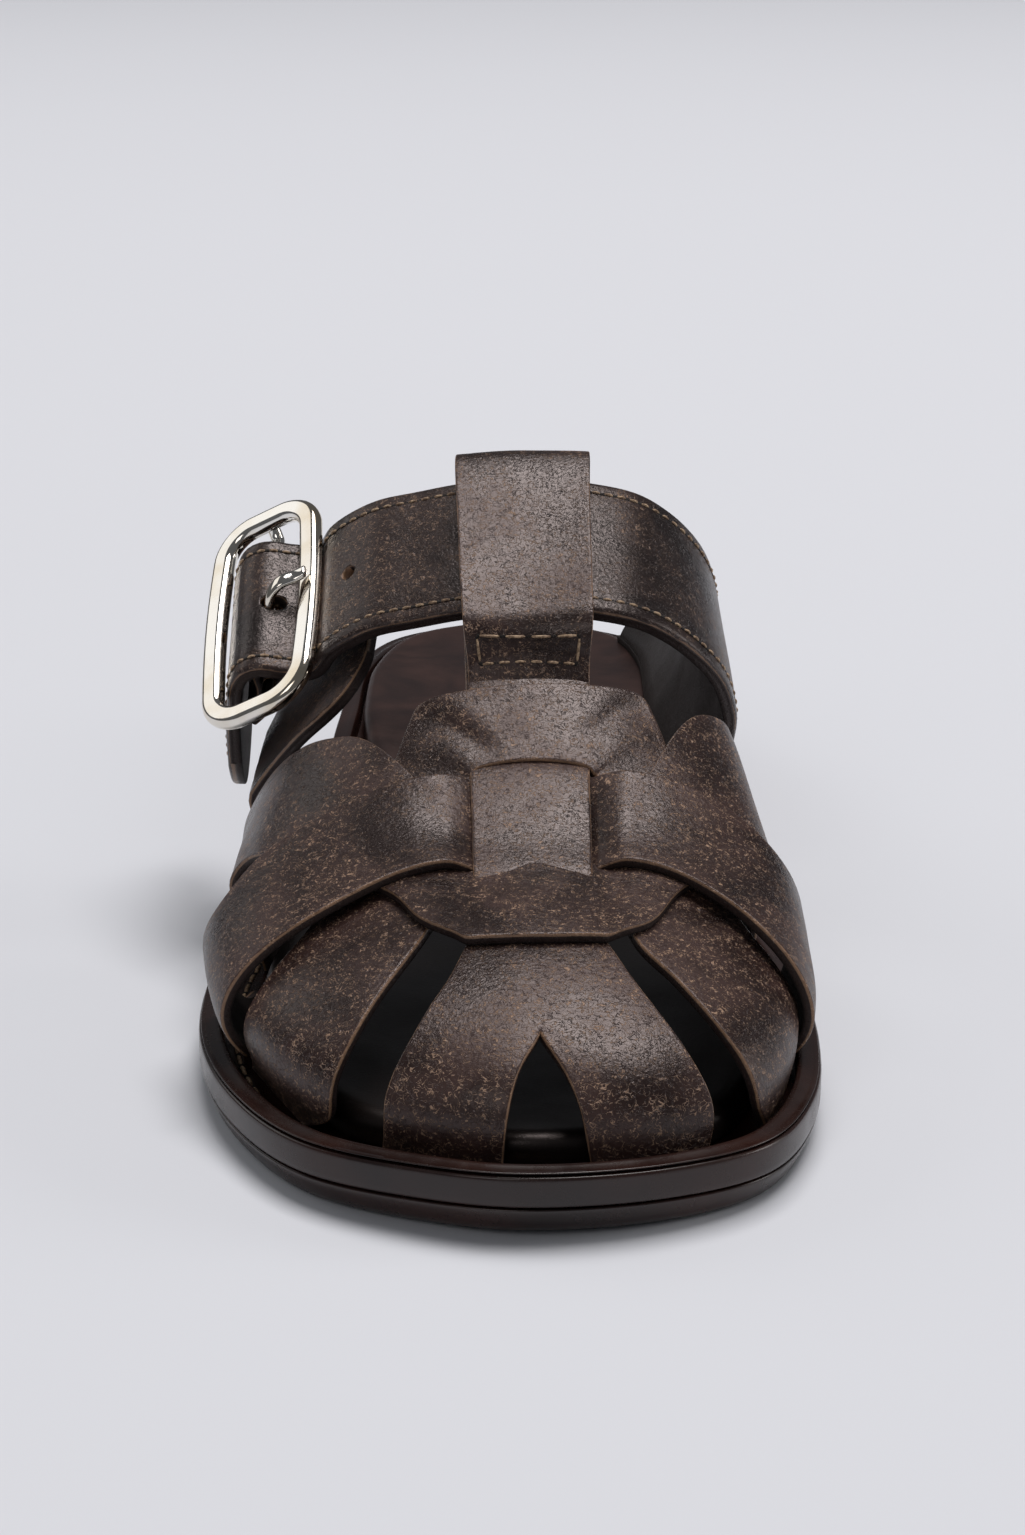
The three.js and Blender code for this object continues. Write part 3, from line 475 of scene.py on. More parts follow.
# Creases are measured along the piece from its originRow
def reliefOf(look, rows, run, top, edge, calm, seam):
    origin = np.interp(look.get("originRow", 0), rows, run[:, 0])
    relief = look["wave"] * hideWave(run, top, look["seed"]) * calm
    creases = creaseRelief(run - origin, top, look.get("creases", ()))
    relief = relief + creases * (calm if seam is not None else 1)
    for distance, depth, spread in look.get("grooves", ()):
        relief = relief - depth * np.exp(-((edge - distance) / spread) ** 2)
    return relief - look.get("edgePress", 0) * np.exp(-edge / cutEdge["pressWidth"])


# Each section runs over the grain side, down one cut side, back along the flesh and up the other
def leatherFaces(count, size, sides):
    total = 2 * (size + sides)
    faces = bands(count, total)
    bottom = lambda j: 2 * size + sides - 1 - j
    for base in (0, (count - 1) * total):
        faces += [[base + j, base + j + 1, base + bottom(j + 1), base + bottom(j)] for j in range(size - 1)]
        faces.append([base + k for k in range(size - 1, size + sides + 1)])
        faces.append([base] + [base + k for k in range(total - 1, bottom(0) - 1, -1)])
    return faces


# seam marks the rows whose far edge is joined to another half
def leatherPiece(name, surface, rows, look, seam=None):
    t = rows[:, None]
    left, centre, right = (
        surface(rows, np.full_like(rows, share), np.full_like(rows, look["thick"])) for share in (0, 0.5, 1))
    width = (np.linalg.norm(left - centre, axis=1) + np.linalg.norm(right - centre, axis=1))[:, None]
    run = lineRun(centre)[:, None]
    top = acrossStations(width, look["acrossCount"])
    farEdge = width - top
    calm = smooth(np.minimum(top, farEdge) / cutEdge["calmWidth"])
    if seam is not None:
        pastFork = run - run[seam][-1]
        farEdge = np.where(seam[:, None], np.hypot(farEdge, pastFork), farEdge)
    edge = np.minimum(top, farEdge)
    if look.get("freeEnds"):
        edge = np.minimum(edge, np.minimum(run, run[-1] - run))
    corner = cornerDrop(edge, look.get("cornerRadius", cutEdge["cornerRadius"]))
    face = look["thick"] - corner + reliefOf(look, rows, run, top, edge, calm, seam)
    lining = cornerDrop(edge, cutEdge["backRadius"])
    side = np.array(cutEdge["lined" if look.get("lined") else "single"])
    ones = np.ones_like(width)
    bulge, level = side[None, :, 0] * ones, side[None, :, 1] * ones * look["thick"]
    farBulge = bulge if seam is None else np.where(seam[:, None], 0, bulge)
    distance = np.concatenate([top, width + farBulge, top[:, ::-1], -bulge[:, ::-1]], axis=1)
    height = np.concatenate([face, level, lining[:, ::-1], level[:, ::-1]], axis=1)
    size = top.shape[1]
    points = surface(np.broadcast_to(t, distance.shape), distance / width, height)
    cutSide = np.full(len(side), 0.5)
    fleshInShade = np.concatenate([np.zeros(size), cutSide, np.ones(size), cutSide])
    zero = np.zeros((len(rows), len(side)))
    attributes = {
        "edge": np.concatenate([edge, zero, edge[:, ::-1], zero], axis=1),
        "fleshInShade": np.broadcast_to(fleshInShade, distance.shape),
    }
    if seam is not None:
        far = np.zeros(distance.shape)
        far[:, size - 1:size + len(side) + 1] = 1
        attributes["seam"] = far * seam[:, None]
    return meshFrom(name, points.reshape(-1, 3), leatherFaces(len(rows), size, len(side)), attributes)


# A strap whose sections follow a table of rows
def leatherStrap(name, surface, table, look):
    return leatherPiece(name, surface, evenRows(surface, len(table) - 1, look["spacing"]), look)


# Thread: each stitch rises out of one hole and dips into the next
thread = {
    "radius": 0.24, "taper": 0.55, "sides": 8, "steps": 9, "gap": 0.5, "sink": 0.3, "stand": 0.12,
    # Each needle hole gets a small dark disc, painted shade for the hole's recess.
    "holeShadeRadius": 0.36, "holeShadeSink": 0.05,
    "holeShadeRings": [(0.2, -0.25), (0.9, -0.1), (1, 0.04), (0.5, 0.09)],  # share of the radius, height
}


def stitchRow(path, normals, pitch, look=thread):
    run = lineRun(path)
    count = max(1, round(run[-1] / pitch))
    pitch = run[-1] / count
    at = lambda s, values: np.stack([np.interp(s, run, values[:, k]) for k in range(3)], axis=-1)
    tubes, holes = [], []
    turn = np.linspace(0, 2 * np.pi, look["sides"], endpoint=False)
    for k in range(count):
        s = np.linspace(k * pitch + look["gap"] / 2, (k + 1) * pitch - look["gap"] / 2, look["steps"])
        lift = np.sin(np.linspace(0, np.pi, look["steps"])) ** 0.6
        up = at(s, normals)
        up /= np.linalg.norm(up, axis=1)[:, None]
        line = at(s, path) + up * (look["stand"] * lift - look["sink"] * (1 - lift))[:, None]
        along = np.gradient(line, axis=0)
        side = np.cross(along, up)
        side /= np.linalg.norm(side, axis=1)[:, None]
        radius = look["radius"] * (look["taper"] + (1 - look["taper"]) * lift)
        tube = (line[:, None] + side[:, None] * (np.cos(turn)[None, :, None] * radius[:, None, None])
                + up[:, None] * (np.sin(turn)[None, :, None] * radius[:, None, None]))
        tubes.append(tube)
        # Painted shade: a small dark disc at each end of a stitch, for the shade inside its needle hole
        for end in (0, -1):
            centre = at(s[end], path) - up[end] * look["holeShadeSink"]
            flat = np.stack([side[end], np.cross(up[end], side[end])])
            disc = np.stack([np.cos(turn), np.sin(turn)], axis=1) @ flat
            holes.append(np.array([centre + disc * look["holeShadeRadius"] * wide + up[end] * high
                                   for wide, high in look["holeShadeRings"]]))
    return tubes, holes


# Threads and the dark discs that paint the shade in their needle holes, as one piece, each with its own
# material
def threadPiece(name, rows):
    points, faces, kinds = [], [], []
    for kind, blocks in enumerate(zip(*rows)):
        for sections in (s for block in blocks for s in block):
            count, size = sections.shape[:2]
            start = sum(len(p) for p in points)
            made = capped(count, size)
            faces += [[start + k for k in face] for face in made]
            kinds += [kind] * len(made)
            points.append(sections.reshape(-1, 3))
    piece = meshFrom(name, np.vstack(points), faces)
    settle(piece, waxedThread)
    piece.data.materials.append(needleHoleShade)
    piece.data.polygons.foreach_set("material_index", kinds)
    return piece


# Shader nodes
def tone(red, green, blue):
    shares = [c / 255 for c in (red, green, blue)]
    return (*(c / 12.92 if c <= 0.04045 else ((c + 0.055) / 1.055) ** 2.4 for c in shares), 1)


# A node with its settings; an input is either a value or another node's socket
def addNode(tree, kind, inputs, **settings):
    made = tree.nodes.new("ShaderNode" + kind)
    for key, value in settings.items():
        setattr(made, key, value)
    for key, value in inputs.items():
        if isinstance(value, bpy.types.NodeSocket):
            tree.links.new(value, made.inputs[key])
        else:
            made.inputs[key].default_value = value
    return made.outputs


def calc(tree, operation, a, b=0.0):
    return addNode(tree, "Math", {0: a, 1: b}, operation=operation)[0]


def remap(tree, value, low, high, start=0.0, end=1.0):
    limits = {"Value": value, "From Min": low, "From Max": high, "To Min": start, "To Max": end}
    return addNode(tree, "MapRange", limits, interpolation_type="SMOOTHSTEP")["Result"]


def blendColor(tree, share, a, b):
    return addNode(tree, "Mix", {0: share, 6: a, 7: b}, data_type="RGBA")[2]


def noise(tree, vector, scale, detail=2.0, roughness=0.5, distortion=0.0):
    values = {"Scale": scale, "Detail": detail, "Roughness": roughness, "Distortion": distortion}
    return addNode(tree, "TexNoise", {"Vector": vector, **values})["Fac"]


def newGroup(name, inputs, outputs):
    group = bpy.data.node_groups.new(name, "ShaderNodeTree")
    for label, kind, value in inputs:
        socket = group.interface.new_socket(label, in_out="INPUT", socket_type="NodeSocket" + kind)
        if value is not None:
            socket.default_value = value
    for label in outputs:
        group.interface.new_socket(label, in_out="OUTPUT", socket_type="NodeSocketFloat")
    return group, group.nodes.new("NodeGroupInput").outputs, group.nodes.new("NodeGroupOutput").inputs


grainShape = {
    "lineWidth": 0.045, "lineTwist": 1.1, "breakScale": 0.8, "breakSpan": (0.42, 0.54),
    "clearCloud": 0.72, "coverGain": 0.42, "cloudBefore": 0.12, "cloudAfter": 0.14,
    "pebbleScale": 1.3, "pebbleHeight": 0.7, "lineHeight": 0.5,
}


# Rubbed grain: short pale worm marks that gather in clouds, with the height that they stand
def grainGroup(look):
    group, given, result = newGroup(
        "RubbedGrain",
        [("Vector", "Vector", None), ("Mark Scale", "Float", 900.0), ("Cloud Scale", "Float", 55.0),
         ("Cover", "Float", 0.5)],
        ["Marks", "Cloud", "Height"])
    where, scale = given["Vector"], given["Mark Scale"]
    markField = noise(group, where, scale, 1.0, 0.5, look["lineTwist"])
    offLine = calc(group, "ABSOLUTE", calc(group, "SUBTRACT", markField, 0.5))
    line = remap(group, offLine, 0.0, look["lineWidth"], 1.0, 0.0)
    breaks = noise(group, where, calc(group, "MULTIPLY", scale, look["breakScale"]), 1.0)
    cloud = noise(group, where, given["Cloud Scale"], 3.0, 0.6, 0.4)
    covered = calc(group, "MULTIPLY", given["Cover"], look["coverGain"])
    reach = calc(group, "SUBTRACT", look["clearCloud"], covered)
    low = calc(group, "SUBTRACT", reach, look["cloudBefore"])
    dense = remap(group, cloud, low, calc(group, "ADD", reach, look["cloudAfter"]))
    broken = calc(group, "MULTIPLY", line, remap(group, breaks, *look["breakSpan"]))
    pebble = noise(group, where, calc(group, "MULTIPLY", scale, look["pebbleScale"]), 3.0, 0.6)
    pebbleHeight = calc(group, "MULTIPLY", pebble, look["pebbleHeight"])
    height = calc(group, "ADD", calc(group, "MULTIPLY", line, look["lineHeight"]), pebbleHeight)
    group.links.new(calc(group, "MULTIPLY", broken, dense), result["Marks"])
    group.links.new(cloud, result["Cloud"])
    group.links.new(height, result["Height"])
    return group


# Wear along a cut edge, and a painted highlight in a band beside it, from the distance to it in millimetres
def edgeWearAndHighlightGroup():
    group, given, result = newGroup(
        "EdgeWearAndHighlight",
        [("Vector", "Vector", None), ("Edge", "Float", 1.0), ("Width", "Float", 0.5),
         ("Patch Scale", "Float", 160.0)],
        ["Wear", "Highlight Band"])
    patch = noise(group, given["Vector"], given["Patch Scale"], 3.0, 0.65)
    width = calc(group, "MULTIPLY", given["Width"], remap(group, patch, 0.3, 0.7, 0.35, 1.6))
    near = calc(group, "DIVIDE", given["Edge"], width)
    group.links.new(remap(group, near, 0.25, 1.0, 1.0, 0.0), result["Wear"])
    # Painted highlight: a lighter band from 0.6 to 3.2 mm off the cut edge, for the light that the strip beside
    # the edge catches.
    group.links.new(remap(group, given["Edge"], 0.6, 3.2, 1.0, 0.0), result["Highlight Band"])
    return group


rubbedGrain = grainGroup(grainShape)
edgeWearAndHighlight = edgeWearAndHighlightGroup()


# Fixed values go straight onto the shader's own sockets
def newMaterial(name, fixed):
    material = bpy.data.materials.new(name)
    material.use_nodes = True
    tree = material.node_tree
    surface = next(n for n in tree.nodes if n.type == "BSDF_PRINCIPLED").inputs
    for key, value in fixed.items():
        surface[key].default_value = value
    return material, tree, surface, addNode(tree, "TexCoord", {})["Object"]


def setBump(tree, surface, height, strength, depth):
    bump = addNode(tree, "Bump", {"Strength": strength, "Distance": depth * millimetre, "Height": height})
    tree.links.new(bump["Normal"], surface["Normal"])


upperFinish = {
    "deep": tone(30, 19, 17), "main": tone(56, 38, 34), "mark": tone(182, 150, 124),
    # The flesh side's colour is darkened to near-black as painted shade, and the punched hole walls take it
    # too.
    "wear": tone(176, 140, 110), "cut": tone(32, 20, 17), "fleshInShade": tone(14, 10, 9),
    "sheen": (1.0, 0.86, 0.83, 1), "rough": (0.25, 0.44), "markRough": 0.18, "fleshRough": 0.45,
    "cover": 0.78, "markScale": 1050.0, "markShare": 0.72, "cloudSpan": (0.36, 0.66),
    # The band share paints a highlight beside each cut edge.
    "wearShare": 0.55, "wearWidth": 0.24, "highlightShare": 0.25,
    "coat": 0.04, "coatRough": 0.28, "bump": 0.95, "grainDepth": 0.18,
}
strapFinish = dict(
    upperFinish, deep=tone(20, 13, 12), main=tone(43, 30, 27), cover=0.5, rough=(0.24, 0.40), coat=0.08)


# Leather with its rubbed grain, worn edges and a painted highlight in a band beside each cut edge. The
# attribute for the flesh side is 0 on the grain side, 0.5 on a cut side and 1 on the flesh side, whose
# near-black colour is painted shade; the edge attribute is the distance to a cut edge.
def leatherMaterial(name, look):
    fixed = {"Specular Tint": look["sheen"], "Coat Weight": look["coat"], "Coat Roughness": look["coatRough"]}
    material, tree, surface, where = newMaterial(name, fixed)
    edge, fleshInShade = (addNode(tree, "Attribute", {}, attribute_name=key)["Fac"] for key in ("edge", "fleshInShade"))
    grain = addNode(tree, "Group", {"Vector": where, "Mark Scale": look["markScale"], "Cover": look["cover"]},
                    node_tree=rubbedGrain)
    wornAndLit = addNode(tree, "Group", {"Vector": where, "Edge": edge, "Width": look["wearWidth"]},
                   node_tree=edgeWearAndHighlight)
    color = look["deep"]
    for share, layer in (
        (remap(tree, grain["Cloud"], *look["cloudSpan"]), "main"),
        # painted highlight in a band beside the cut edges
        (calc(tree, "MULTIPLY", wornAndLit["Highlight Band"], look["highlightShare"]), "main"),
        (calc(tree, "MULTIPLY", grain["Marks"], look["markShare"]), "mark"),
        (calc(tree, "MULTIPLY", wornAndLit["Wear"], look["wearShare"]), "wear"),
        (remap(tree, fleshInShade, 0.08, 0.45), "cut"),
        # the flesh side, painted near-black as shade
        (remap(tree, fleshInShade, 0.85, 0.98), "fleshInShade"),
    ):
        color = blendColor(tree, share, color, look[layer])
    tree.links.new(color, surface["Base Color"])
    rough = remap(tree, grain["Cloud"], 0.3, 0.7, *look["rough"])
    rough = calc(tree, "ADD", rough, calc(tree, "MULTIPLY", grain["Marks"], look["markRough"]))
    rough = calc(tree, "ADD", rough, remap(tree, fleshInShade, 0.1, 0.9, 0.0, look["fleshRough"]))
    tree.links.new(rough, surface["Roughness"])
    setBump(tree, surface, grain["Height"], look["bump"], look["grainDepth"])
    return material


footbedFinish = {
    # The near-black colour is painted shade for the footbed's forefoot under the straps; its span is the
    # object's y in metres over which it fades out.
    "deep": tone(34, 22, 20), "main": tone(54, 36, 32), "paintedShade": tone(12, 8, 7), "paintedShadeSpan": (-0.02, 0.045),
    "specular": 0.34, "rough": (0.32, 0.44), "markScale": 700.0, "cover": 0.2, "bump": 0.25, "grainDepth": 0.08,
}


def footbedMaterial(look):
    fixed = {"Specular IOR Level": look["specular"], "Specular Tint": upperFinish["sheen"]}
    material, tree, surface, where = newMaterial("footbedHide", fixed)
    grain = addNode(tree, "Group", {"Vector": where, "Mark Scale": look["markScale"], "Cover": look["cover"]},
                    node_tree=rubbedGrain)
    color = blendColor(tree, remap(tree, grain["Cloud"], 0.3, 0.7), look["deep"], look["main"])
    # Painted shade: the footbed is near-black up to about 115 mm behind the toe and fades to its own colour by
    # about 180 mm, for the shade under the straps.
    heel = remap(tree, addNode(tree, "SeparateXYZ", {0: where})["Y"], *look["paintedShadeSpan"])
    tree.links.new(blendColor(tree, heel, look["paintedShade"], color), surface["Base Color"])
    tree.links.new(remap(tree, grain["Cloud"], 0.3, 0.7, *look["rough"]), surface["Roughness"])
    setBump(tree, surface, grain["Height"], look["bump"], look["grainDepth"])
    return material


rubberFinish = {
    "deep": tone(26, 15, 13), "main": tone(48, 28, 23), "cloudScale": 40.0, "glossScale": 90.0,
    "speckleScale": 2200.0, "rough": (0.2, 0.34), "bump": 0.12, "speckleDepth": 0.05,
}


def rubberMaterial(look):
    material, tree, surface, where = newMaterial("soleRubber", {})
    cloud = remap(tree, noise(tree, where, look["cloudScale"], 3.0), 0.3, 0.7)
    gloss = noise(tree, where, look["glossScale"], 4.0, 0.7)
    tree.links.new(blendColor(tree, cloud, look["deep"], look["main"]), surface["Base Color"])
    tree.links.new(remap(tree, gloss, 0.3, 0.75, *look["rough"]), surface["Roughness"])
    setBump(tree, surface, noise(tree, where, look["speckleScale"]), look["bump"], look["speckleDepth"])
    return material


steelFinish = {
    "bright": tone(236, 233, 227), "warm": tone(214, 198, 170), "cloudScale": 70.0, "rough": (0.07, 0.17),
    "scratchScale": (260.0, 2600.0, 900.0), "scratchTurn": (0.4, 0.2, 0.7), "bump": 0.08, "scratchDepth": 0.02,
}


def steelMaterial(look):
    material, tree, surface, where = newMaterial("polishedSteel", {"Metallic": 1.0})
    cloud = remap(tree, noise(tree, where, look["cloudScale"], 3.0), 0.35, 0.7)
    turned = {"Vector": where, "Scale": look["scratchScale"], "Rotation": look["scratchTurn"]}
    fine = noise(tree, addNode(tree, "Mapping", turned)["Vector"], 1.0, 3.0, 0.7)
    tree.links.new(blendColor(tree, cloud, look["bright"], look["warm"]), surface["Base Color"])
    tree.links.new(remap(tree, fine, 0.45, 0.75, *look["rough"]), surface["Roughness"])
    setBump(tree, surface, fine, look["bump"], look["scratchDepth"])
    return material


threadFinish = {
    "light": tone(186, 160, 130), "dark": tone(112, 88, 68), "twist": 1500.0, "rough": 0.6,
    "bump": 0.5, "twistDepth": 0.06,
}


def threadMaterial(look):
    material, tree, surface, where = newMaterial("waxedThread", {"Roughness": look["rough"]})
    twist = noise(tree, where, look["twist"], 2.0, 0.5, 0.8)
    color = blendColor(tree, remap(tree, twist, 0.35, 0.65), look["dark"], look["light"])
    tree.links.new(color, surface["Base Color"])
    setBump(tree, surface, twist, look["bump"], look["twistDepth"])
    return material


# A cloudy colour with no relief, for the painted shade in needle holes and for the floor
def cloudyMaterial(name, scale, darker, paler, rough):
    material, tree, surface, where = newMaterial(name, {"Roughness": rough})
    tree.links.new(blendColor(tree, noise(tree, where, scale), darker, paler), surface["Base Color"])
    return material


upperLeather = leatherMaterial("upperLeather", upperFinish)
strapHide = leatherMaterial("strapHide", strapFinish)
footbedHide = footbedMaterial(footbedFinish)
soleRubber = rubberMaterial(rubberFinish)
polishedSteel = steelMaterial(steelFinish)
waxedThread = threadMaterial(threadFinish)
# Near-black painted shade for the needle holes
needleHoleShade = cloudyMaterial("needleHoleShade", 900.0, tone(14, 10, 9), tone(26, 19, 16), 0.85)
print("materials ready")


# Sole: each profile goes round the outline as insets from it and heights over the forefoot
def outsolePiece():
    top = sole["outsoleTop"]
    profile = [(3.0, 0), (2.5, 0.05), (2.15, 0.3), (1.3, 1.4), (0.55, 3.2), (0.36, 3.7), (0.3, 4.0),
               (0.36, 4.22), (0.6, top)]
    piece = soleBody("outsole_rubber", [ring(inset, height) for inset, height in profile])
    return settle(piece, soleRubber, ["outsole"])


heel = {
    "breast": 193.5, "frontSteps": 26,
    # inset, height, 1 where it follows the sole's rise
    "profile": [(3.0, 0, 0), (2.6, 0.12, 0), (1.5, 1.7, 0), (1.2, -0.35, 1)],
}


def heelPiece():
    first, *_, final = np.nonzero(outline[:, 1] >= heel["breast"])[0]
    front = np.linspace(0, 1, heel["frontSteps"])[1:-1, None]
    rings = []
    for inset, height, follows in heel["profile"]:
        moved = insetOutline(inset)[first:final + 1]
        level = height + (rise(moved[:, 1]) if follows else 0)
        side = place(moved[:, 0], moved[:, 1], level)
        rings.append(np.vstack([side, side[-1] + (side[0] - side[-1]) * front]))
    return settle(bodyOf("heel_block", np.array(rings)), soleRubber, ["heel"])


def midsolePiece():
    base, seam, floor = sole["outsoleTop"] + sole["fit"], sole["seamHeight"], sole["channelFloor"]
    profile = [(1.6, base), (0.4, base), (0.16, base + 0.15), (0.03, base + 0.5), (0, base + 1.2),
               (0, seam - 1), (0.06, seam - 0.4), (0.24, seam - 0.1), (0.6, seam), (3.0, seam),
               (3.25, seam - 0.2), (3.4, floor + 0.2), (3.8, floor), (12, floor)]
    piece = soleBody("midsole_wall", [ring(inset, height) for inset, height in profile])
    return settle(piece, soleRubber, ["midsole"])


def rimPiece():
    seam, lip, foot = sole["seamHeight"] + sole["fit"], sole["lipHeight"], sole["channelFloor"] + sole["fit"]
    profile = [(0.75, seam), (0.42, seam + 0.1), (0.4, seam + 0.22), (0.62, seam + 0.32),
               (1.1, seam + 0.22), (1.7, seam + 0.24), (2.3, seam + 0.42), (2.75, lip - 0.12),
               (3.05, lip), (3.45, lip + 0.02), (3.8, lip - 0.1), (3.98, lip - 0.4), (4.2, seam - 1.2),
               (4.3, foot), (3.75, foot), (3.6, seam - 0.1), (3.45, seam)]
    piece = soleBody("rim_lip", [ring(inset, height) for inset, height in profile], closed=True)
    return settle(piece, soleRubber, ["rim"])


# The footbed widens towards the heel, from a start and over a length on each side
footbed = {"inset": 10.3, "heelGain": 5.3, "inner": (188, 20), "outer": (158, 50)}


def footbedInset(back, x):
    inner, outer = ((back - start) / length for start, length in (footbed["inner"], footbed["outer"]))
    return footbed["inset"] - footbed["heelGain"] * smooth(np.where(x > 0, inner, outer))


def footbedPiece():
    foot, top = sole["channelFloor"] + sole["fit"], sole["footbedTop"]
    profile = [(0.9, foot), (0.25, foot + 0.15), (0, foot + 0.9), (0, top - 3), (0.08, top - 2.1),
               (0.35, top - 1.3), (0.85, top - 0.65), (1.6, top - 0.2), (2.6, top), (3.6, top),
               (5, top - 0.12), (7, top - 0.22), (11, top - 0.3), (16, top - 0.35)]
    rings = [ring(lambda back, x, more=more: footbedInset(back, x) + more, height) for more, height in profile]
    return settle(soleBody("footbed_pad", rings), footbedHide, ["footbed"])


outsolePiece()
heelPiece()
midsolePiece()
rimPiece()
footbedPiece()
print("sole ready")

# Woven upper, in the flat pattern: rear across, rear along, front across, front along, layers beneath it,
# and at its front edge where those differ. A landing is rear, front and layers where the strap meets the sole.
leather = 1.9
layerStep = leather * 0.99
saddleStrap = {
    "outerLanding": (82, 57, 0.1),
    "innerLanding": (83, 58, 0),
    "rows": [
        (-66, 67, -60, 44, 0.5), (-55, 66, -51, 42.5, 1.7), (-46, 74, -42, 46, 2.1),
        (-36.5, 78, -32, 52, 2.0), (-26, 81, -22.5, 57.5, 2.0), (-16.8, 82, -15, 59.6, 1.9),
        (-12, 82, -11.6, 60, 1.1), (-8, 82, -8, 60, 0.1), (0.5, 82.5, 0.5, 60, 0), (8, 82.5, 8, 60.4, 0.1),
        (12, 82.8, 11.4, 60.8, 1.1), (16.4, 83, 15, 60.8, 1.9), (25, 82.5, 22, 59.5, 2.0),
        (34, 80.5, 30, 55, 2.0), (43, 75.5, 38, 48, 2.1), (50, 71, 46, 43, 1.5), (58, 71, 54, 45, 0.2),
    ],
    "look": {"thick": leather, "wave": 0.06, "seed": 1, "spacing": 0.8, "acrossCount": 30, "originRow": 9,
             "creases": [(-19, 2, -17, 20, 0.22, 2.4), (19, 2, 17, 20, 0.22, 2.4),
                         (-34, 3, -28, 22, 0.12, 3), (36, 3, 30, 22, 0.12, 3)]},
}
frontChevron = {
    "outerLanding": (113, 91, 0),
    "innerLanding": (116, 92, 0),
    "rows": [
        (-72, 110, -66, 87, 0.1), (-58, 111, -54, 85, 0.3), (-45, 106, -45, 77, 0.8),
        (-36, 101, -35, 67, 1), (-28, 95, -24, 55, 1.05), (-19, 82, -19, 45.4, 0.9, 1.1),
        (-13.4, 68, -13.4, 40, 0.35, 1.05), (-11.2, 64, -11.4, 38.1, 0.3, 1.05),
        (-8.6, 62, -8.6, 37.9, 0.5, 1.05), (0, 60.5, 0, 37.9, 0.9, 1), (8.6, 62, 8.6, 38.4, 0.5, 1.05),
        (10.9, 64, 11.1, 38.7, 0.3, 1.05), (13.2, 68, 13.2, 40.6, 0.35, 1.05),
        (18.4, 82, 18.4, 45.6, 0.9, 1.1), (27, 99.5, 23.5, 57.5, 1.05), (35, 107.5, 33, 70, 1),
        (43, 112.8, 41, 80, 0.8), (53, 114.8, 50, 87, 0.3), (62, 115, 59, 90, 0.1),
    ],
    "look": {"thick": leather, "wave": 0.06, "seed": 2, "spacing": 0.8, "acrossCount": 34, "originRow": 10,
             "creases": [(-16, 14, -6, 22, 0.12, 2.2), (15, 12, 8, 21, 0.14, 2.4)]},
}
rearChevron = {
    "outerLanding": (50, 28, 0),
    "innerLanding": (50, 27, 0),
    "rows": [
        (-57, 42, -40.5, 13.5, 0), (-50, 40, -33, 18, 0), (-44, 44, -26, 28.5, 0),
        (-37, 54, -18.4, 43, 0), (-30.6, 70, -12.5, 62, 0.1), (-24, 87.6, -11, 79.5, 0.6),
        (-20.6, 96.8, -10, 82.6, 0.9), (-18.2, 99.6, -9, 83.6, 1.0), (-11, 100, -5.5, 84.4, 1.05),
        (0, 100.2, 0, 84.8, 1.05), (11, 101, 5.5, 84.6, 1.05), (18.6, 101.6, 9, 84, 1.0),
        (21, 98.8, 10, 83, 0.9), (24, 90, 11, 80.5, 0.6), (28, 72, 12, 62, 0.1), (34.5, 56.5, 15.4, 42.5, 0),
        (40.5, 49.5, 22, 32.5, 0), (46, 46, 31, 22, 0), (51.5, 45.5, 39, 16.5, 0),
    ],
    "look": {"thick": leather, "wave": 0.06, "seed": 3, "spacing": 0.8, "acrossCount": 30, "originRow": 10,
             "creases": [(-18, -1, -10, 16, 0.5, 2.6), (16, 0, 11, 14, 0.4, 2.4), (-6, 4, 7, 6, 0.12, 2.2)]},
}
# Carries the buckle on the outer side
buckleStrap = {
    "outerLanding": (154, 126, 0),
    "rows": [
        (-88, 149, -82, 123.5, 0.05), (-74, 146, -70, 122, 0.05), (-62, 144, -60, 120, 0.05),
        (-52, 142.5, -50, 116.5, 0.05), (-44, 141, -42, 113.5, 0.05), (-37.5, 138, -36.5, 114, 0.05),
        (-32.5, 133.5, -33, 118, 0.05), (-31, 129, -31.5, 122, 0.05),
    ],
    "look": {"thick": 2.4, "wave": 0.05, "seed": 4, "spacing": 0.8, "freeEnds": True, "acrossCount": 26,
             "lined": True},
}


def wovenPiece(name, strap):
    rows = withLandings(strap)

    def surface(t, share, height):
        row = rowAt(rows, t)
        across = row[..., 0] + (row[..., 2] - row[..., 0]) * share
        along = row[..., 1] + (row[..., 3] - row[..., 1]) * share
        layer = row[..., 4] + (row[..., 5] - row[..., 4]) * share
        return lifted(across, along, layer * layerStep + height)

    return leatherStrap(name, surface, rows, strap["look"])


# Middle strap: along, left edge, right edge, layers beneath
middleStrap = {
    "rows": np.array([
        [112, -11.2, 10.6, 0.1], [98, -11, 10.4, 0], [88, -10.8, 10, 0.15], [82, -10.5, 9.4, 1],
        [71, -10.4, 9.2, 1.15], [60, -10.4, 9, 0.9], [54, -10.4, 9.2, 0.1], [41, -10.6, 10, 0],
    ]),
    "look": {"thick": leather, "wave": 0.05, "seed": 5, "spacing": 0.8, "acrossCount": 26},
}


def middlePiece():
    def surface(t, share, height):
        row = rowAt(middleStrap["rows"], t)
        across = row[..., 1] + (row[..., 2] - row[..., 1]) * share
        return lifted(across, row[..., 0], row[..., 3] * layerStep + height)

    return leatherStrap("middle_strap", surface, middleStrap["rows"], middleStrap["look"])


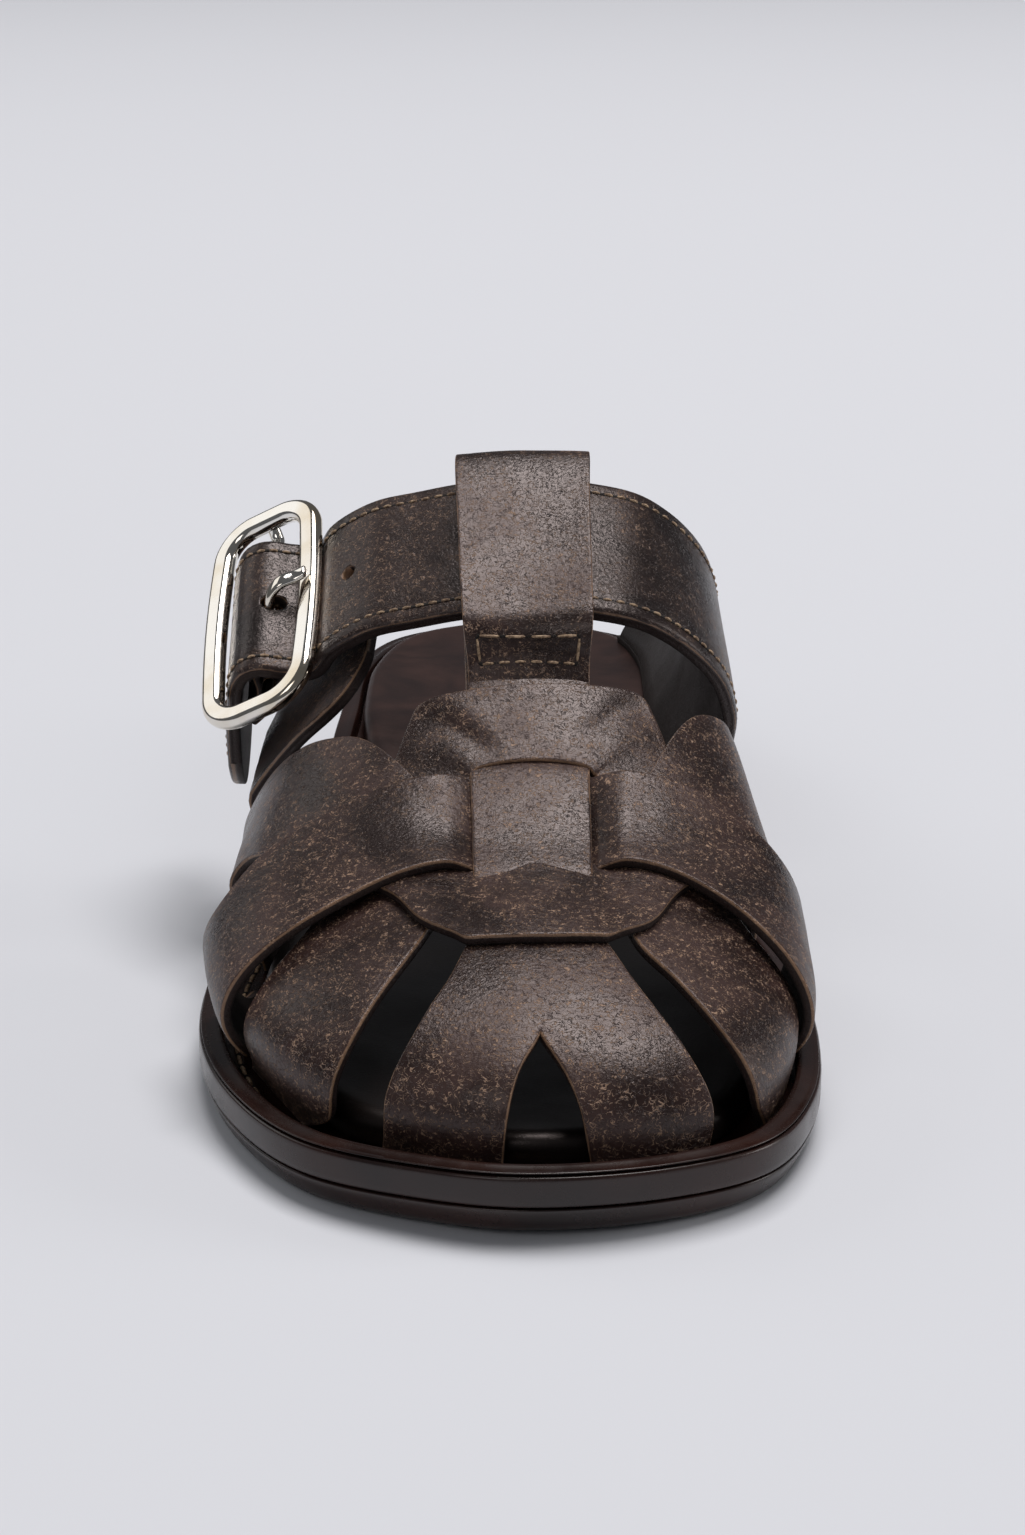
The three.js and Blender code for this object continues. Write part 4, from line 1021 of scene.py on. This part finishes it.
# Toe piece: each half runs from its outer edge to the middle, and past the fork to the notch. Its rows are
# side across, side along, middle across, middle along, and its landing is a direction in degrees for each edge.
toePiece = {
    "forkRow": 3,
    "outer": {
        "landing": (-34.5, -7.5),
        "rows": [(-10.6, 42, 0, 42), (-14, 31.5, 0, 30), (-17.6, 24.5, 0, 23),
                 (-20.2, 19.5, 0, 17.5), (-23, 15, -3.2, 10.8), (-25.6, 11.3, -5, 5), (-28, 8, -6.2, 0.5)],
    },
    "inner": {
        "landing": (34.2, 11),
        "rows": [(10, 42, 0, 42), (14.6, 31.5, 0, 30), (18.6, 24.5, 0, 23), (22, 19.5, 0, 17.5),
                 (25.2, 15.2, 4.2, 10.8), (28.6, 11.4, 6.8, 6), (31, 8, 8.8, 1)],
    },
    "look": {"thick": leather, "wave": 0.07, "seed": 6, "spacing": 0.7, "acrossCount": 26},
}


def toeHalf(name, part, shared=None):
    out, into = (landingByAngle(angle) for angle in part["landing"])
    rows = np.array(part["rows"] + [(*out, *into)], float)
    fork = toePiece["forkRow"]

    def surface(t, share, height):
        row = rowAt(rows, t)
        middle = np.where(t <= fork, 0, row[..., 2])
        across = row[..., 0] + (middle - row[..., 0]) * share
        along = row[..., 1] + (row[..., 3] - row[..., 1]) * share
        return lifted(across, along, height)

    if shared is None:
        shared = np.unique(np.append(evenRows(surface, len(rows) - 1, toePiece["look"]["spacing"]), fork))
    return leatherPiece(name, surface, shared, toePiece["look"], seam=shared <= fork), shared


# Both halves share their rows, so that they weld along the middle
def toePieces():
    left, shared = toeHalf("toe_piece", toePiece["outer"])
    right = toeHalf("toe_piece_right", toePiece["inner"], shared)[0]
    whole = joinPieces("toe_piece", [left, right])
    tidyMesh(whole, weld=4e-6, seamKey="seam")
    return whole


# T-strap turned round the instep strap: along, lift, half width
strapLoop = {
    "slope": 1.17,  # the last climbs here, so a step along the pattern is shorter than one on the strap
    "flatten": 2.1,  # raises the sides, so that the loop lies flat over the instep strap
    "flattenSpan": (1.2, 4.5),
    "rows": np.array([
        [103, 1.0, 10.6], [106.5, 3.0, 10.3], [110, 6.3, 10], [115, 6.9, 9.9], [128, 6.9, 9.8], [142, 6.9, 9.8],
        [146.5, 6.1, 9.9], [148.2, 3.5, 10.6], [146.5, 1.2, 10.9], [142, 0.55, 10.8], [128, 0.5, 10.6],
        [112, 0.5, 10.4], [104, 0.5, 10.4],
    ]),
    "look": {"thick": leather, "wave": 0.05, "seed": 7, "spacing": 0.7, "acrossCount": 28},
}


# How far the rows move around a fractional row
def rowStep(rows, t, reach):
    return rowAt(rows, np.minimum(t + reach, len(rows) - 1)) - rowAt(rows, np.maximum(t - reach, 0))


def loopSurface(t, share, height):
    rows, slope = strapLoop["rows"], strapLoop["slope"]
    start, length = strapLoop["flattenSpan"]
    row, step = rowAt(rows, t), rowStep(rows, t, 0.02)
    run, climb = step[..., 0] * slope, step[..., 1]
    off = (height - leather / 2) / np.hypot(run, climb)
    side = share * 2 - 1
    raised = strapLoop["flatten"] * side**2 * smooth((row[..., 1] - start) / length)
    return lifted(row[..., 2] * side, row[..., 0] - climb * off / slope, row[..., 1] + raised + run * off)


for piece in (
    wovenPiece("rear_chevron", rearChevron),
    wovenPiece("front_chevron", frontChevron),
    wovenPiece("saddle_strap", saddleStrap),
    middlePiece(),
    toePieces(),
    leatherStrap("strap_loop", loopSurface, strapLoop["rows"], strapLoop["look"]),
):
    settle(piece, upperLeather, ["upper"])
print("upper ready")

# Instep strap, from its inner foot to its loose tip
instep = {
    "halfWidth": 16.5,
    "tipRound": 0.8, "tipFullness": 0.96,
    "rearReach": np.array([72, 70, 40, 18, 5, 1, 0]),  # how far its rear edge runs on at the first rows
    "heelStep": 6.5, "heelStepStart": 175, "heelStepLength": 11, "heelStepRows": 3,
    # row, radius over the strap, radius along it
    "holes": [(18.6, 1.9, 2.5), (14.95, 1.55, 1.55), (21.6, 1.4, 1.4)],
    "punch": [(-6, 0.98), (-1, 1), (1, 1), (6, 0.98)],  # height, share of the radius
    "stitchInset": 3.0, "stitchPitch": 2.5, "stitchSink": 0.12, "stitchEnds": (0.4, 0.35),
    # x, back, height, slope of its width in degrees, inset of its top edge
    "rows": np.array([
        [31.7, 160, 14.1, 9.6, 0.9], [32.3, 159.6, 17.5, 10, 0.9], [36.6, 156.5, 27, 14, 1.5],
        [39.9, 151.5, 37, 20, 2.2], [41.2, 145.6, 47, 25, 2.6], [40.7, 142, 53.2, 28, 2.4],
        [38.8, 138.2, 59.6, 30, 2], [35.3, 134.7, 65.2, 31.2, 1.6], [30, 131.3, 70.6, 31.2, 1],
        [23.2, 128.8, 74.8, 31.2, 0.3], [14, 127.4, 77.1, 31.2, 0], [2, 126.4, 78.7, 31.2, 0],
        [-10, 127.5, 76.9, 31.2, 0], [-18.3, 128.7, 75.0, 31.2, 0], [-25.5, 129.8, 73.2, 31.2, 0],
        [-31, 131.5, 70.3, 31.2, 0], [-35, 133.5, 67, 31.2, 0], [-37.7, 135.9, 63.1, 31.2, 0],
        [-41.8, 135.9, 63.0, 31.2, 0], [-47, 135.5, 63.7, 31.2, 0], [-51, 136.4, 62.2, 31.2, 0],
        [-53.2, 138.5, 58.7, 31.2, 0], [-53.8, 141.1, 54.3, 31.2, 0], [-54.6, 145.2, 47.6, 31.2, 0],
        [-55.3, 158.3, 26.2, 31.2, 0],
    ]),
    # grooves: distance from the edge, depth, spread
    "look": {"thick": 3.0, "wave": 0.05, "seed": 8, "spacing": 0.7, "freeEnds": True, "lined": True,
             "acrossCount": 38, "grooves": [(3.0, 0.16, 0.5)], "edgePress": 0.35, "cornerRadius": 0.8},
}


def instepFrame(t):
    row, along = rowAt(instep["rows"], t), rowStep(instep["rows"], t, 0.05)[..., :3]
    along /= np.linalg.norm(along, axis=-1)[..., None]
    lean = np.radians(row[..., 3])
    across = np.stack([-row[..., 4] / (2 * instep["halfWidth"]), np.cos(lean), np.sin(lean)], axis=-1)
    across -= along * np.einsum("...i,...i->...", across, along)[..., None]
    across /= np.linalg.norm(across, axis=-1)[..., None]
    return place(row[..., 0], row[..., 1], row[..., 2]), across, np.cross(across, along)


# Past its own width the strap follows the inner side of the heel
def instepPlace(t, width):
    centre, across, normal = instepFrame(t)
    halfWidth = instep["halfWidth"]
    point = centre + across * np.minimum(width, halfWidth)[..., None]
    past = np.maximum(width - halfWidth, 0)
    start = behindToe(point)
    back = start + past
    footX = lambda b: np.interp(b, innerFoot[:, 1], innerFoot[:, 0])
    step = instep["heelStep"] * smooth((back - instep["heelStepStart"]) / instep["heelStepLength"])
    climb = (rise(back) - rise(start) + step) * np.maximum(0, 1 - t / instep["heelStepRows"])
    climb = np.where(past > 0, climb, 0)
    point = point + np.stack([np.where(past > 0, footX(back) - footX(start), 0), past, climb], axis=-1)
    slope = np.where(past > 0, (footX(back + 1) - footX(back - 1)) / 2, 0)
    normal = normal - np.stack([0 * slope, slope * normal[..., 0], 0 * slope], axis=-1)
    return point, normal / np.linalg.norm(normal, axis=-1)[..., None]


def rearReach(t):
    return np.interp(t, np.arange(len(instep["rearReach"])), instep["rearReach"])


def instepSurface(t, share, height):
    edge = share * 2 - 1
    tip = len(instep["rows"]) - 1
    tipShare = 1 - np.sqrt(1 - instep["tipFullness"] * np.minimum(edge * edge, 1))  # rounds the loose tip
    width = -instep["halfWidth"] + share * (2 * instep["halfWidth"] + rearReach(t))
    point, normal = instepPlace(t - instep["tipRound"] * smooth(t - tip + 1) * tipShare, width)
    return point - normal * (instep["look"]["thick"] - height)[..., None]


def instepPiece():
    piece = leatherStrap("instep_band", instepSurface, instep["rows"], instep["look"])
    turn = np.linspace(0, 2 * np.pi, 40, endpoint=False)
    cutters = []
    for k, (t, wide, longer) in enumerate(instep["holes"]):
        centre, across, normal = (v[0] for v in instepFrame(np.array([float(t)])))
        side = np.cross(normal, across)
        circle = np.cos(turn)[:, None] * across * wide + np.sin(turn)[:, None] * side * longer
        sections = np.array([centre + circle * size + normal * high for high, size in instep["punch"]])
        # The punched hole walls take the flesh side's near-black colour, a painted shade inside the holes.
        dark = {"fleshInShade": np.full(sections.shape[:2], 1.0), "edge": np.full(sections.shape[:2], 5.0)}
        cutters.append(bodyOf(f"punch{k}", sections, attributes=dark))
    return settle(cutWith(piece, cutters), strapHide, ["instep_strap"])


def instepStitches():
    lines = []
    start, end = instep["stitchEnds"]
    t = np.linspace(start, len(instep["rows"]) - 1 - end, 700)
    inset = instep["stitchInset"] / (2 * instep["halfWidth"] + rearReach(t))
    for share in (inset, 1 - inset):
        line = instepSurface(t, share, np.full_like(t, instep["look"]["thick"] - instep["stitchSink"]))
        inside = instepSurface(t, share, np.zeros_like(t))
        lines.append(stitchRow(line, line - inside, instep["stitchPitch"]))
    return threadPiece("instep_stitches", lines)


instepPiece()
instepStitches()
settle(wovenPiece("buckle_band", buckleStrap), strapHide, ["buckle_strap"])
print("instep strap ready")

# Box of stitches that closes the T-strap's loop: rows and edges as distances in the loop's own pattern
boxStitch = {"start": 0.72, "end": 1.62, "halfWidth": 8.2, "frontCount": 6, "rearCount": 4, "radius": 0.27}


def loopStitches():
    start, end = boxStitch["start"], boxStitch["end"]
    corners = [(start, -1), (start, 1), (end, 1), (end, -1), (start, -1)]
    counts = (boxStitch["frontCount"], 1, boxStitch["rearCount"], 1)
    lines = []
    for (t0, s0), (t1, s1), count in zip(corners, corners[1:], counts):
        f = np.linspace(0, 1, 60)
        t, side = t0 + (t1 - t0) * f, s0 + (s1 - s0) * f
        share = 0.5 + side * boxStitch["halfWidth"] / (2 * rowAt(strapLoop["rows"], t)[:, 2])
        top = loopSurface(t, share, np.full_like(t, leather))
        low = loopSurface(t, share, np.zeros_like(t))
        look = dict(thread, radius=boxStitch["radius"])
        lines.append(stitchRow(top, top - low, lineRun(top)[-1] / count, look))
    return threadPiece("loop_stitches", lines)


loopStitches()

# Stitches in the channel round the forefoot
channelStitch = {"inset": 6.3, "pitch": 4.4, "reach": 118, "stand": 0.1, "radius": 0.4}


def channelStitches():
    moved = insetOutline(channelStitch["inset"])
    order = np.roll(np.arange(len(moved)), len(moved) // 2)
    chain = moved[order]
    chain = chain[chain[:, 1] < channelStitch["reach"]]
    path = place(chain[:, 0], chain[:, 1], sole["channelFloor"] + channelStitch["stand"] + rise(chain[:, 1]))
    normals = np.tile([0.0, 0.0, 1.0], (len(path), 1))
    stitches = stitchRow(path, normals, channelStitch["pitch"], dict(thread, radius=channelStitch["radius"]))
    return threadPiece("channel_stitches", [stitches])


channelStitches()
print("stitches ready")

# Buckle: x along the strap, y across it, z away from the foot
buckle = {
    "centre": (-47.5, 138.6, 60.8), "lean": 31.2, "turn": 33,
    "wide": 4.5, "thick": 3.0, "across": 48.4, "along": 19.4, "corner": 6.5,
    "bow": 1.3, "bowSpan": 50.4, "bowFade": 4,
    # one side of the section, as shares of half its width and height: a flat face with a bevel
    "section": [(0.34, 1.0), (0.62, 0.93), (0.86, 0.62), (1.0, 0.2), (1.0, -0.3), (0.9, -0.72),
                (0.6, -1.0)],
    "barRadius": 1.3, "barSink": 3.5, "barBend": (2.2, 5.5),
}
lean, turned = math.radians(buckle["lean"]), math.radians(buckle["turn"])
buckleAcross = np.array([0, math.cos(lean), math.sin(lean)])
buckleAlong = (np.array([-math.cos(turned), 0, 0])
               + np.array([0, math.sin(lean), -math.cos(lean)]) * math.sin(turned))
buckleOut = np.cross(buckleAcross, buckleAlong)
buckleCentre = place(*buckle["centre"])


def buckleSpace(points):
    return buckleCentre + points @ np.stack([buckleAlong, buckleAcross, buckleOut])


# Middle line of the frame: a rounded rectangle whose long sides bow out
def frameLine(t):
    corners = np.array([[1, 1], [-1, 1], [-1, -1], [1, -1]])
    quarter = np.floor(t * 4).astype(int) % 4
    local = (t * 4) % 1
    turn = math.pi / 2 * (quarter + np.minimum(local * 2, 1))
    glide = np.maximum(local * 2 - 1, 0)[..., None]
    now, following = corners[quarter], corners[(quarter + 1) % 4]
    inner = np.array([buckle["along"] / 2 - buckle["corner"], buckle["across"] / 2 - buckle["corner"]])
    point = inner * (now + (following - now) * glide)
    point = point + buckle["corner"] * np.stack([np.cos(turn), np.sin(turn)], axis=-1)
    x, y = point[..., 0], point[..., 1]
    bow = np.sign(x) * buckle["bow"] * np.cos(math.pi * y / buckle["bowSpan"])
    return np.stack([x + bow * np.minimum(1, np.abs(x) / buckle["bowFade"]), y], axis=-1)


# Tube with an oval section along a path given in the buckle's own frame
def ovalTube(points, wide, thick, side, power=2.0):
    angle = np.linspace(0, 2 * np.pi, 24, endpoint=False)
    a, b = (np.sign(wave) * np.abs(wave) ** (2 / power) for wave in (np.cos(angle), np.sin(angle)))
    along = np.gradient(points, axis=0)
    up = np.cross(along, side)
    up /= np.linalg.norm(up, axis=1)[:, None]
    wide, thick = np.broadcast_to(wide, len(points)), np.broadcast_to(thick, len(points))
    return (points[:, None] + side[:, None] * (a[None, :, None] * wide[:, None, None])
            + up[:, None] * (b[None, :, None] * thick[:, None, None]))


def splineThrough(points, count):
    points = np.array(points, float)
    return rowAt(points, np.linspace(0, len(points) - 1, count))


def buckleFramePiece():
    t = np.arange(240) / 240
    centre = frameLine(t)
    along = frameLine((t + 0.002) % 1) - frameLine((t - 0.002) % 1)
    along /= np.linalg.norm(along, axis=1)[:, None]
    section = np.array(buckle["section"] + [(-x, z) for x, z in buckle["section"][::-1]])
    profile = splineThrough(np.vstack([section, section[:1]]), 43)[:-1]
    wide = profile[:, 0] * buckle["wide"] / 2
    sections = np.stack([
        centre[:, None, 0] + along[:, None, 1] * wide,
        centre[:, None, 1] - along[:, None, 0] * wide,
        np.broadcast_to(profile[:, 1] * buckle["thick"] / 2, (len(t), len(wide))),
    ], axis=-1)
    rim = bodyOf("buckle_rim", buckleSpace(sections), closed=True)
    end, sink = buckle["across"] / 2, buckle["barSink"]
    bend, level = buckle["barBend"]
    half = [(0, end, 0), (0, end - bend, -sink * 0.8), (0, end - level, -sink)]
    path = splineThrough([(x, -y, z) for x, y, z in half] + [(0, 0, -sink)] + half[::-1], 60)
    side = np.tile([1.0, 0, 0], (len(path), 1))
    bar = bodyOf("buckle_bar", buckleSpace(ovalTube(path, buckle["barRadius"], buckle["barRadius"], side)))
    for piece in (rim, bar):
        settle(piece, polishedSteel, ["buckle_frame"])


# Prong: its eye turns on the bar, and its pin rests on the frame's far side
prong = {
    "across": -1.1, "wide": 2.1, "thick": 1.0, "power": 2.6, "bluntShare": 0.045, "bluntEnd": 0.15,
    "eyeRadius": buckle["barRadius"] + sole["fit"] + 1.0, "eyeHalfWidth": 1.1, "eyeHalfThick": 1.0,
    "wideTaper": 0.35, "thickTaper": 0.3, "restGap": 0.25, "start": -1.6,
    # x, further across than the eye, z
    "arch": [(-2.4, 0, 0.6), (-3.5, 0.2, 2.5), (-5.2, 0.8, 3.8), (-7.4, 1.7, 4.2)],
    # before the frame's middle line, further across than the eye, above its rest
    "tip": [(1.2, 2.8, 0.35), (-1.2, 3.4, 0)],
}


def prongPath():
    y, sink = prong["across"], buckle["barSink"]
    far = -buckle["along"] / 2 - buckle["bow"]
    rest = buckle["thick"] / 2 + prong["restGap"] + prong["thick"]
    arch = [(x, y + further, z) for x, further, z in prong["arch"]]
    tip = [(far + before, y + further, rest + above) for before, further, above in prong["tip"]]
    return [(prong["start"], y, prong["eyeRadius"] - sink), *arch, *tip]


def prongPiece():
    path = splineThrough(prongPath(), 70)
    share = np.linspace(0, 1, len(path))
    side = np.tile([0.0, 1.0, 0], (len(path), 1))
    blunt = np.maximum(np.minimum(1, (1 - share) / prong["bluntShare"]) ** 0.5, prong["bluntEnd"])
    wide = prong["wide"] * (1 - prong["wideTaper"] * share) * blunt
    thick = prong["thick"] * (1 - prong["thickTaper"] * share) * blunt
    pin = bodyOf("prong_pin", buckleSpace(ovalTube(path, wide, thick, side, prong["power"])))
    turn = np.linspace(0, 2 * np.pi, 48, endpoint=False)
    out = np.stack([np.cos(turn), np.zeros_like(turn), np.sin(turn)], axis=-1)
    centre = out * prong["eyeRadius"] + np.array([0, prong["across"], -buckle["barSink"]])
    small = np.linspace(0, 2 * np.pi, 20, endpoint=False)
    sections = (centre[:, None] + out[:, None] * prong["eyeHalfThick"] * np.cos(small)[None, :, None]
                + np.array([0, prong["eyeHalfWidth"], 0]) * np.sin(small)[None, :, None])
    eye = bodyOf("prong_eye", buckleSpace(sections), closed=True)
    for piece in (eye, pin):
        settle(piece, polishedSteel, ["buckle_prong"])


# Chape: a strip wrapped round the bar, slotted for the prong's eye
chape = {
    "width": 28, "slot": (-2.4, 3.4), "slotDepth": 5, "slotTop": 12, "slotBottom": -15,
    # x, z
    "rows": np.array([
        [10.5, -12.6], [7, -11.4], [4, -9.8], [1.7, -7.0], [0.4, -5.9], [-1.4, -5.4], [-2.4, -3.5],
        [-1.4, -1.6], [0.6, -1.2], [2.3, -2.4], [3.7, -5.4], [6.6, -9.2], [10.5, -11.1],
    ]),
    "look": {"thick": 1.4, "wave": 0.03, "seed": 9, "spacing": 0.5, "freeEnds": True, "acrossCount": 30,
             "cornerRadius": 0.4},
}


def chapeSurface(t, share, height):
    row, step = rowAt(chape["rows"], t), rowStep(chape["rows"], t, 0.05)
    off = (height - chape["look"]["thick"] / 2) / np.hypot(step[..., 0], step[..., 1])
    x, z = row[..., 0] - step[..., 1] * off, row[..., 1] + step[..., 0] * off
    return buckleSpace(np.stack([x, chape["width"] * (share - 0.5), z], axis=-1))


def chapePiece():
    piece = leatherStrap("chape_leather", chapeSurface, chape["rows"], chape["look"])
    low, high = chape["slot"]
    depth, sink = chape["slotDepth"], buckle["barSink"]
    corner = np.array([[-depth, low], [depth, low], [depth, high], [-depth, high]])
    levels = (chape["slotBottom"] - sink, -sink, chape["slotTop"])
    sections = np.array([np.c_[corner, np.full(4, z)] for z in levels])
    slot = bodyOf("slot_cutter", buckleSpace(sections))
    return settle(cutWith(piece, [slot]), strapHide, ["buckle_chape"])


buckleFramePiece()
prongPiece()
chapePiece()
print("buckle ready")

# Camera, floor and light
view = {
    "place": (3.25, -543.1, 216.84), "pitch": 18.9, "focalPixels": 3000, "tall": 1535, "sensor": 36,
    "clip": (0.01, 50),
}


def addCamera():
    data = bpy.data.cameras.new("camera")
    data.sensor_width = view["sensor"]
    data.lens = view["focalPixels"] / view["tall"] * view["sensor"]
    data.clip_start, data.clip_end = view["clip"]
    camera = bpy.data.objects.new("camera", data)
    camera.location = Vector(view["place"]) * millimetre
    camera.rotation_euler = (math.radians(90 - view["pitch"]), 0, 0)
    bpy.context.scene.collection.objects.link(camera)
    bpy.context.scene.camera = camera


studio = {
    "floorTone": tone(218, 222, 229), "floorPaler": 1.01, "floorRough": 0.8, "cloudScale": 3.0,
    "floorSize": 8, "floorDrop": 0.05,
    "world": (0.92, 0.94, 1.0, 1), "worldStrength": 0.11,
    # name, place, aim, size, power, color
    "lamps": [
        ("overhead", (0.6, 0.9, 4.6), (0, 0.3, 0), (3.3, 2.1), 190, (1.0, 0.955, 0.935)),
        ("frontFill", (-1.5, -3.6, 3.0), (0, 0, 0.03), (2.2, 1.8), 22, (1.0, 0.965, 0.95)),
        ("rightSide", (3.4, 0.3, 1.2), (0, 0, 0.04), (1.2, 1.8), 26, (1.0, 0.96, 0.93)),
        ("leftRear", (-2.25, 1.5, 1.8), (0, 0, 0.06), (1.9, 1.5), 9, (1.0, 0.985, 0.96)),
    ],
}


def addStudio():
    form = bmesh.new()
    bmesh.ops.create_grid(form, x_segments=2, y_segments=2, size=studio["floorSize"])
    mesh = bpy.data.meshes.new("floor")
    form.to_mesh(mesh)
    form.free()
    floor = bpy.data.objects.new("floor", mesh)
    floor.location.z = -studio["floorDrop"] * millimetre
    bpy.context.scene.collection.objects.link(floor)
    dark = studio["floorTone"]
    pale = (*(min(1, c * studio["floorPaler"]) for c in dark[:3]), 1)
    floor.data.materials.append(
        cloudyMaterial("paleFloor", studio["cloudScale"], dark, pale, studio["floorRough"]))
    world = bpy.data.worlds.new("world")
    world.use_nodes = True
    sky = world.node_tree.nodes["Background"]
    sky.inputs["Color"].default_value = studio["world"]
    sky.inputs["Strength"].default_value = studio["worldStrength"]
    bpy.context.scene.world = world
    for name, spot, aim, size, power, color in studio["lamps"]:
        data = bpy.data.lights.new(name, "AREA")
        data.shape, data.size, data.size_y = "RECTANGLE", *size
        data.energy, data.color = power, color
        lamp = bpy.data.objects.new(name, data)
        lamp.location = spot
        lamp.rotation_euler = (Vector(aim) - Vector(spot)).to_track_quat("-Z", "Y").to_euler()
        bpy.context.scene.collection.objects.link(lamp)
    bpy.context.scene.view_settings.view_transform = "Standard"


addCamera()
addStudio()
print("studio ready")
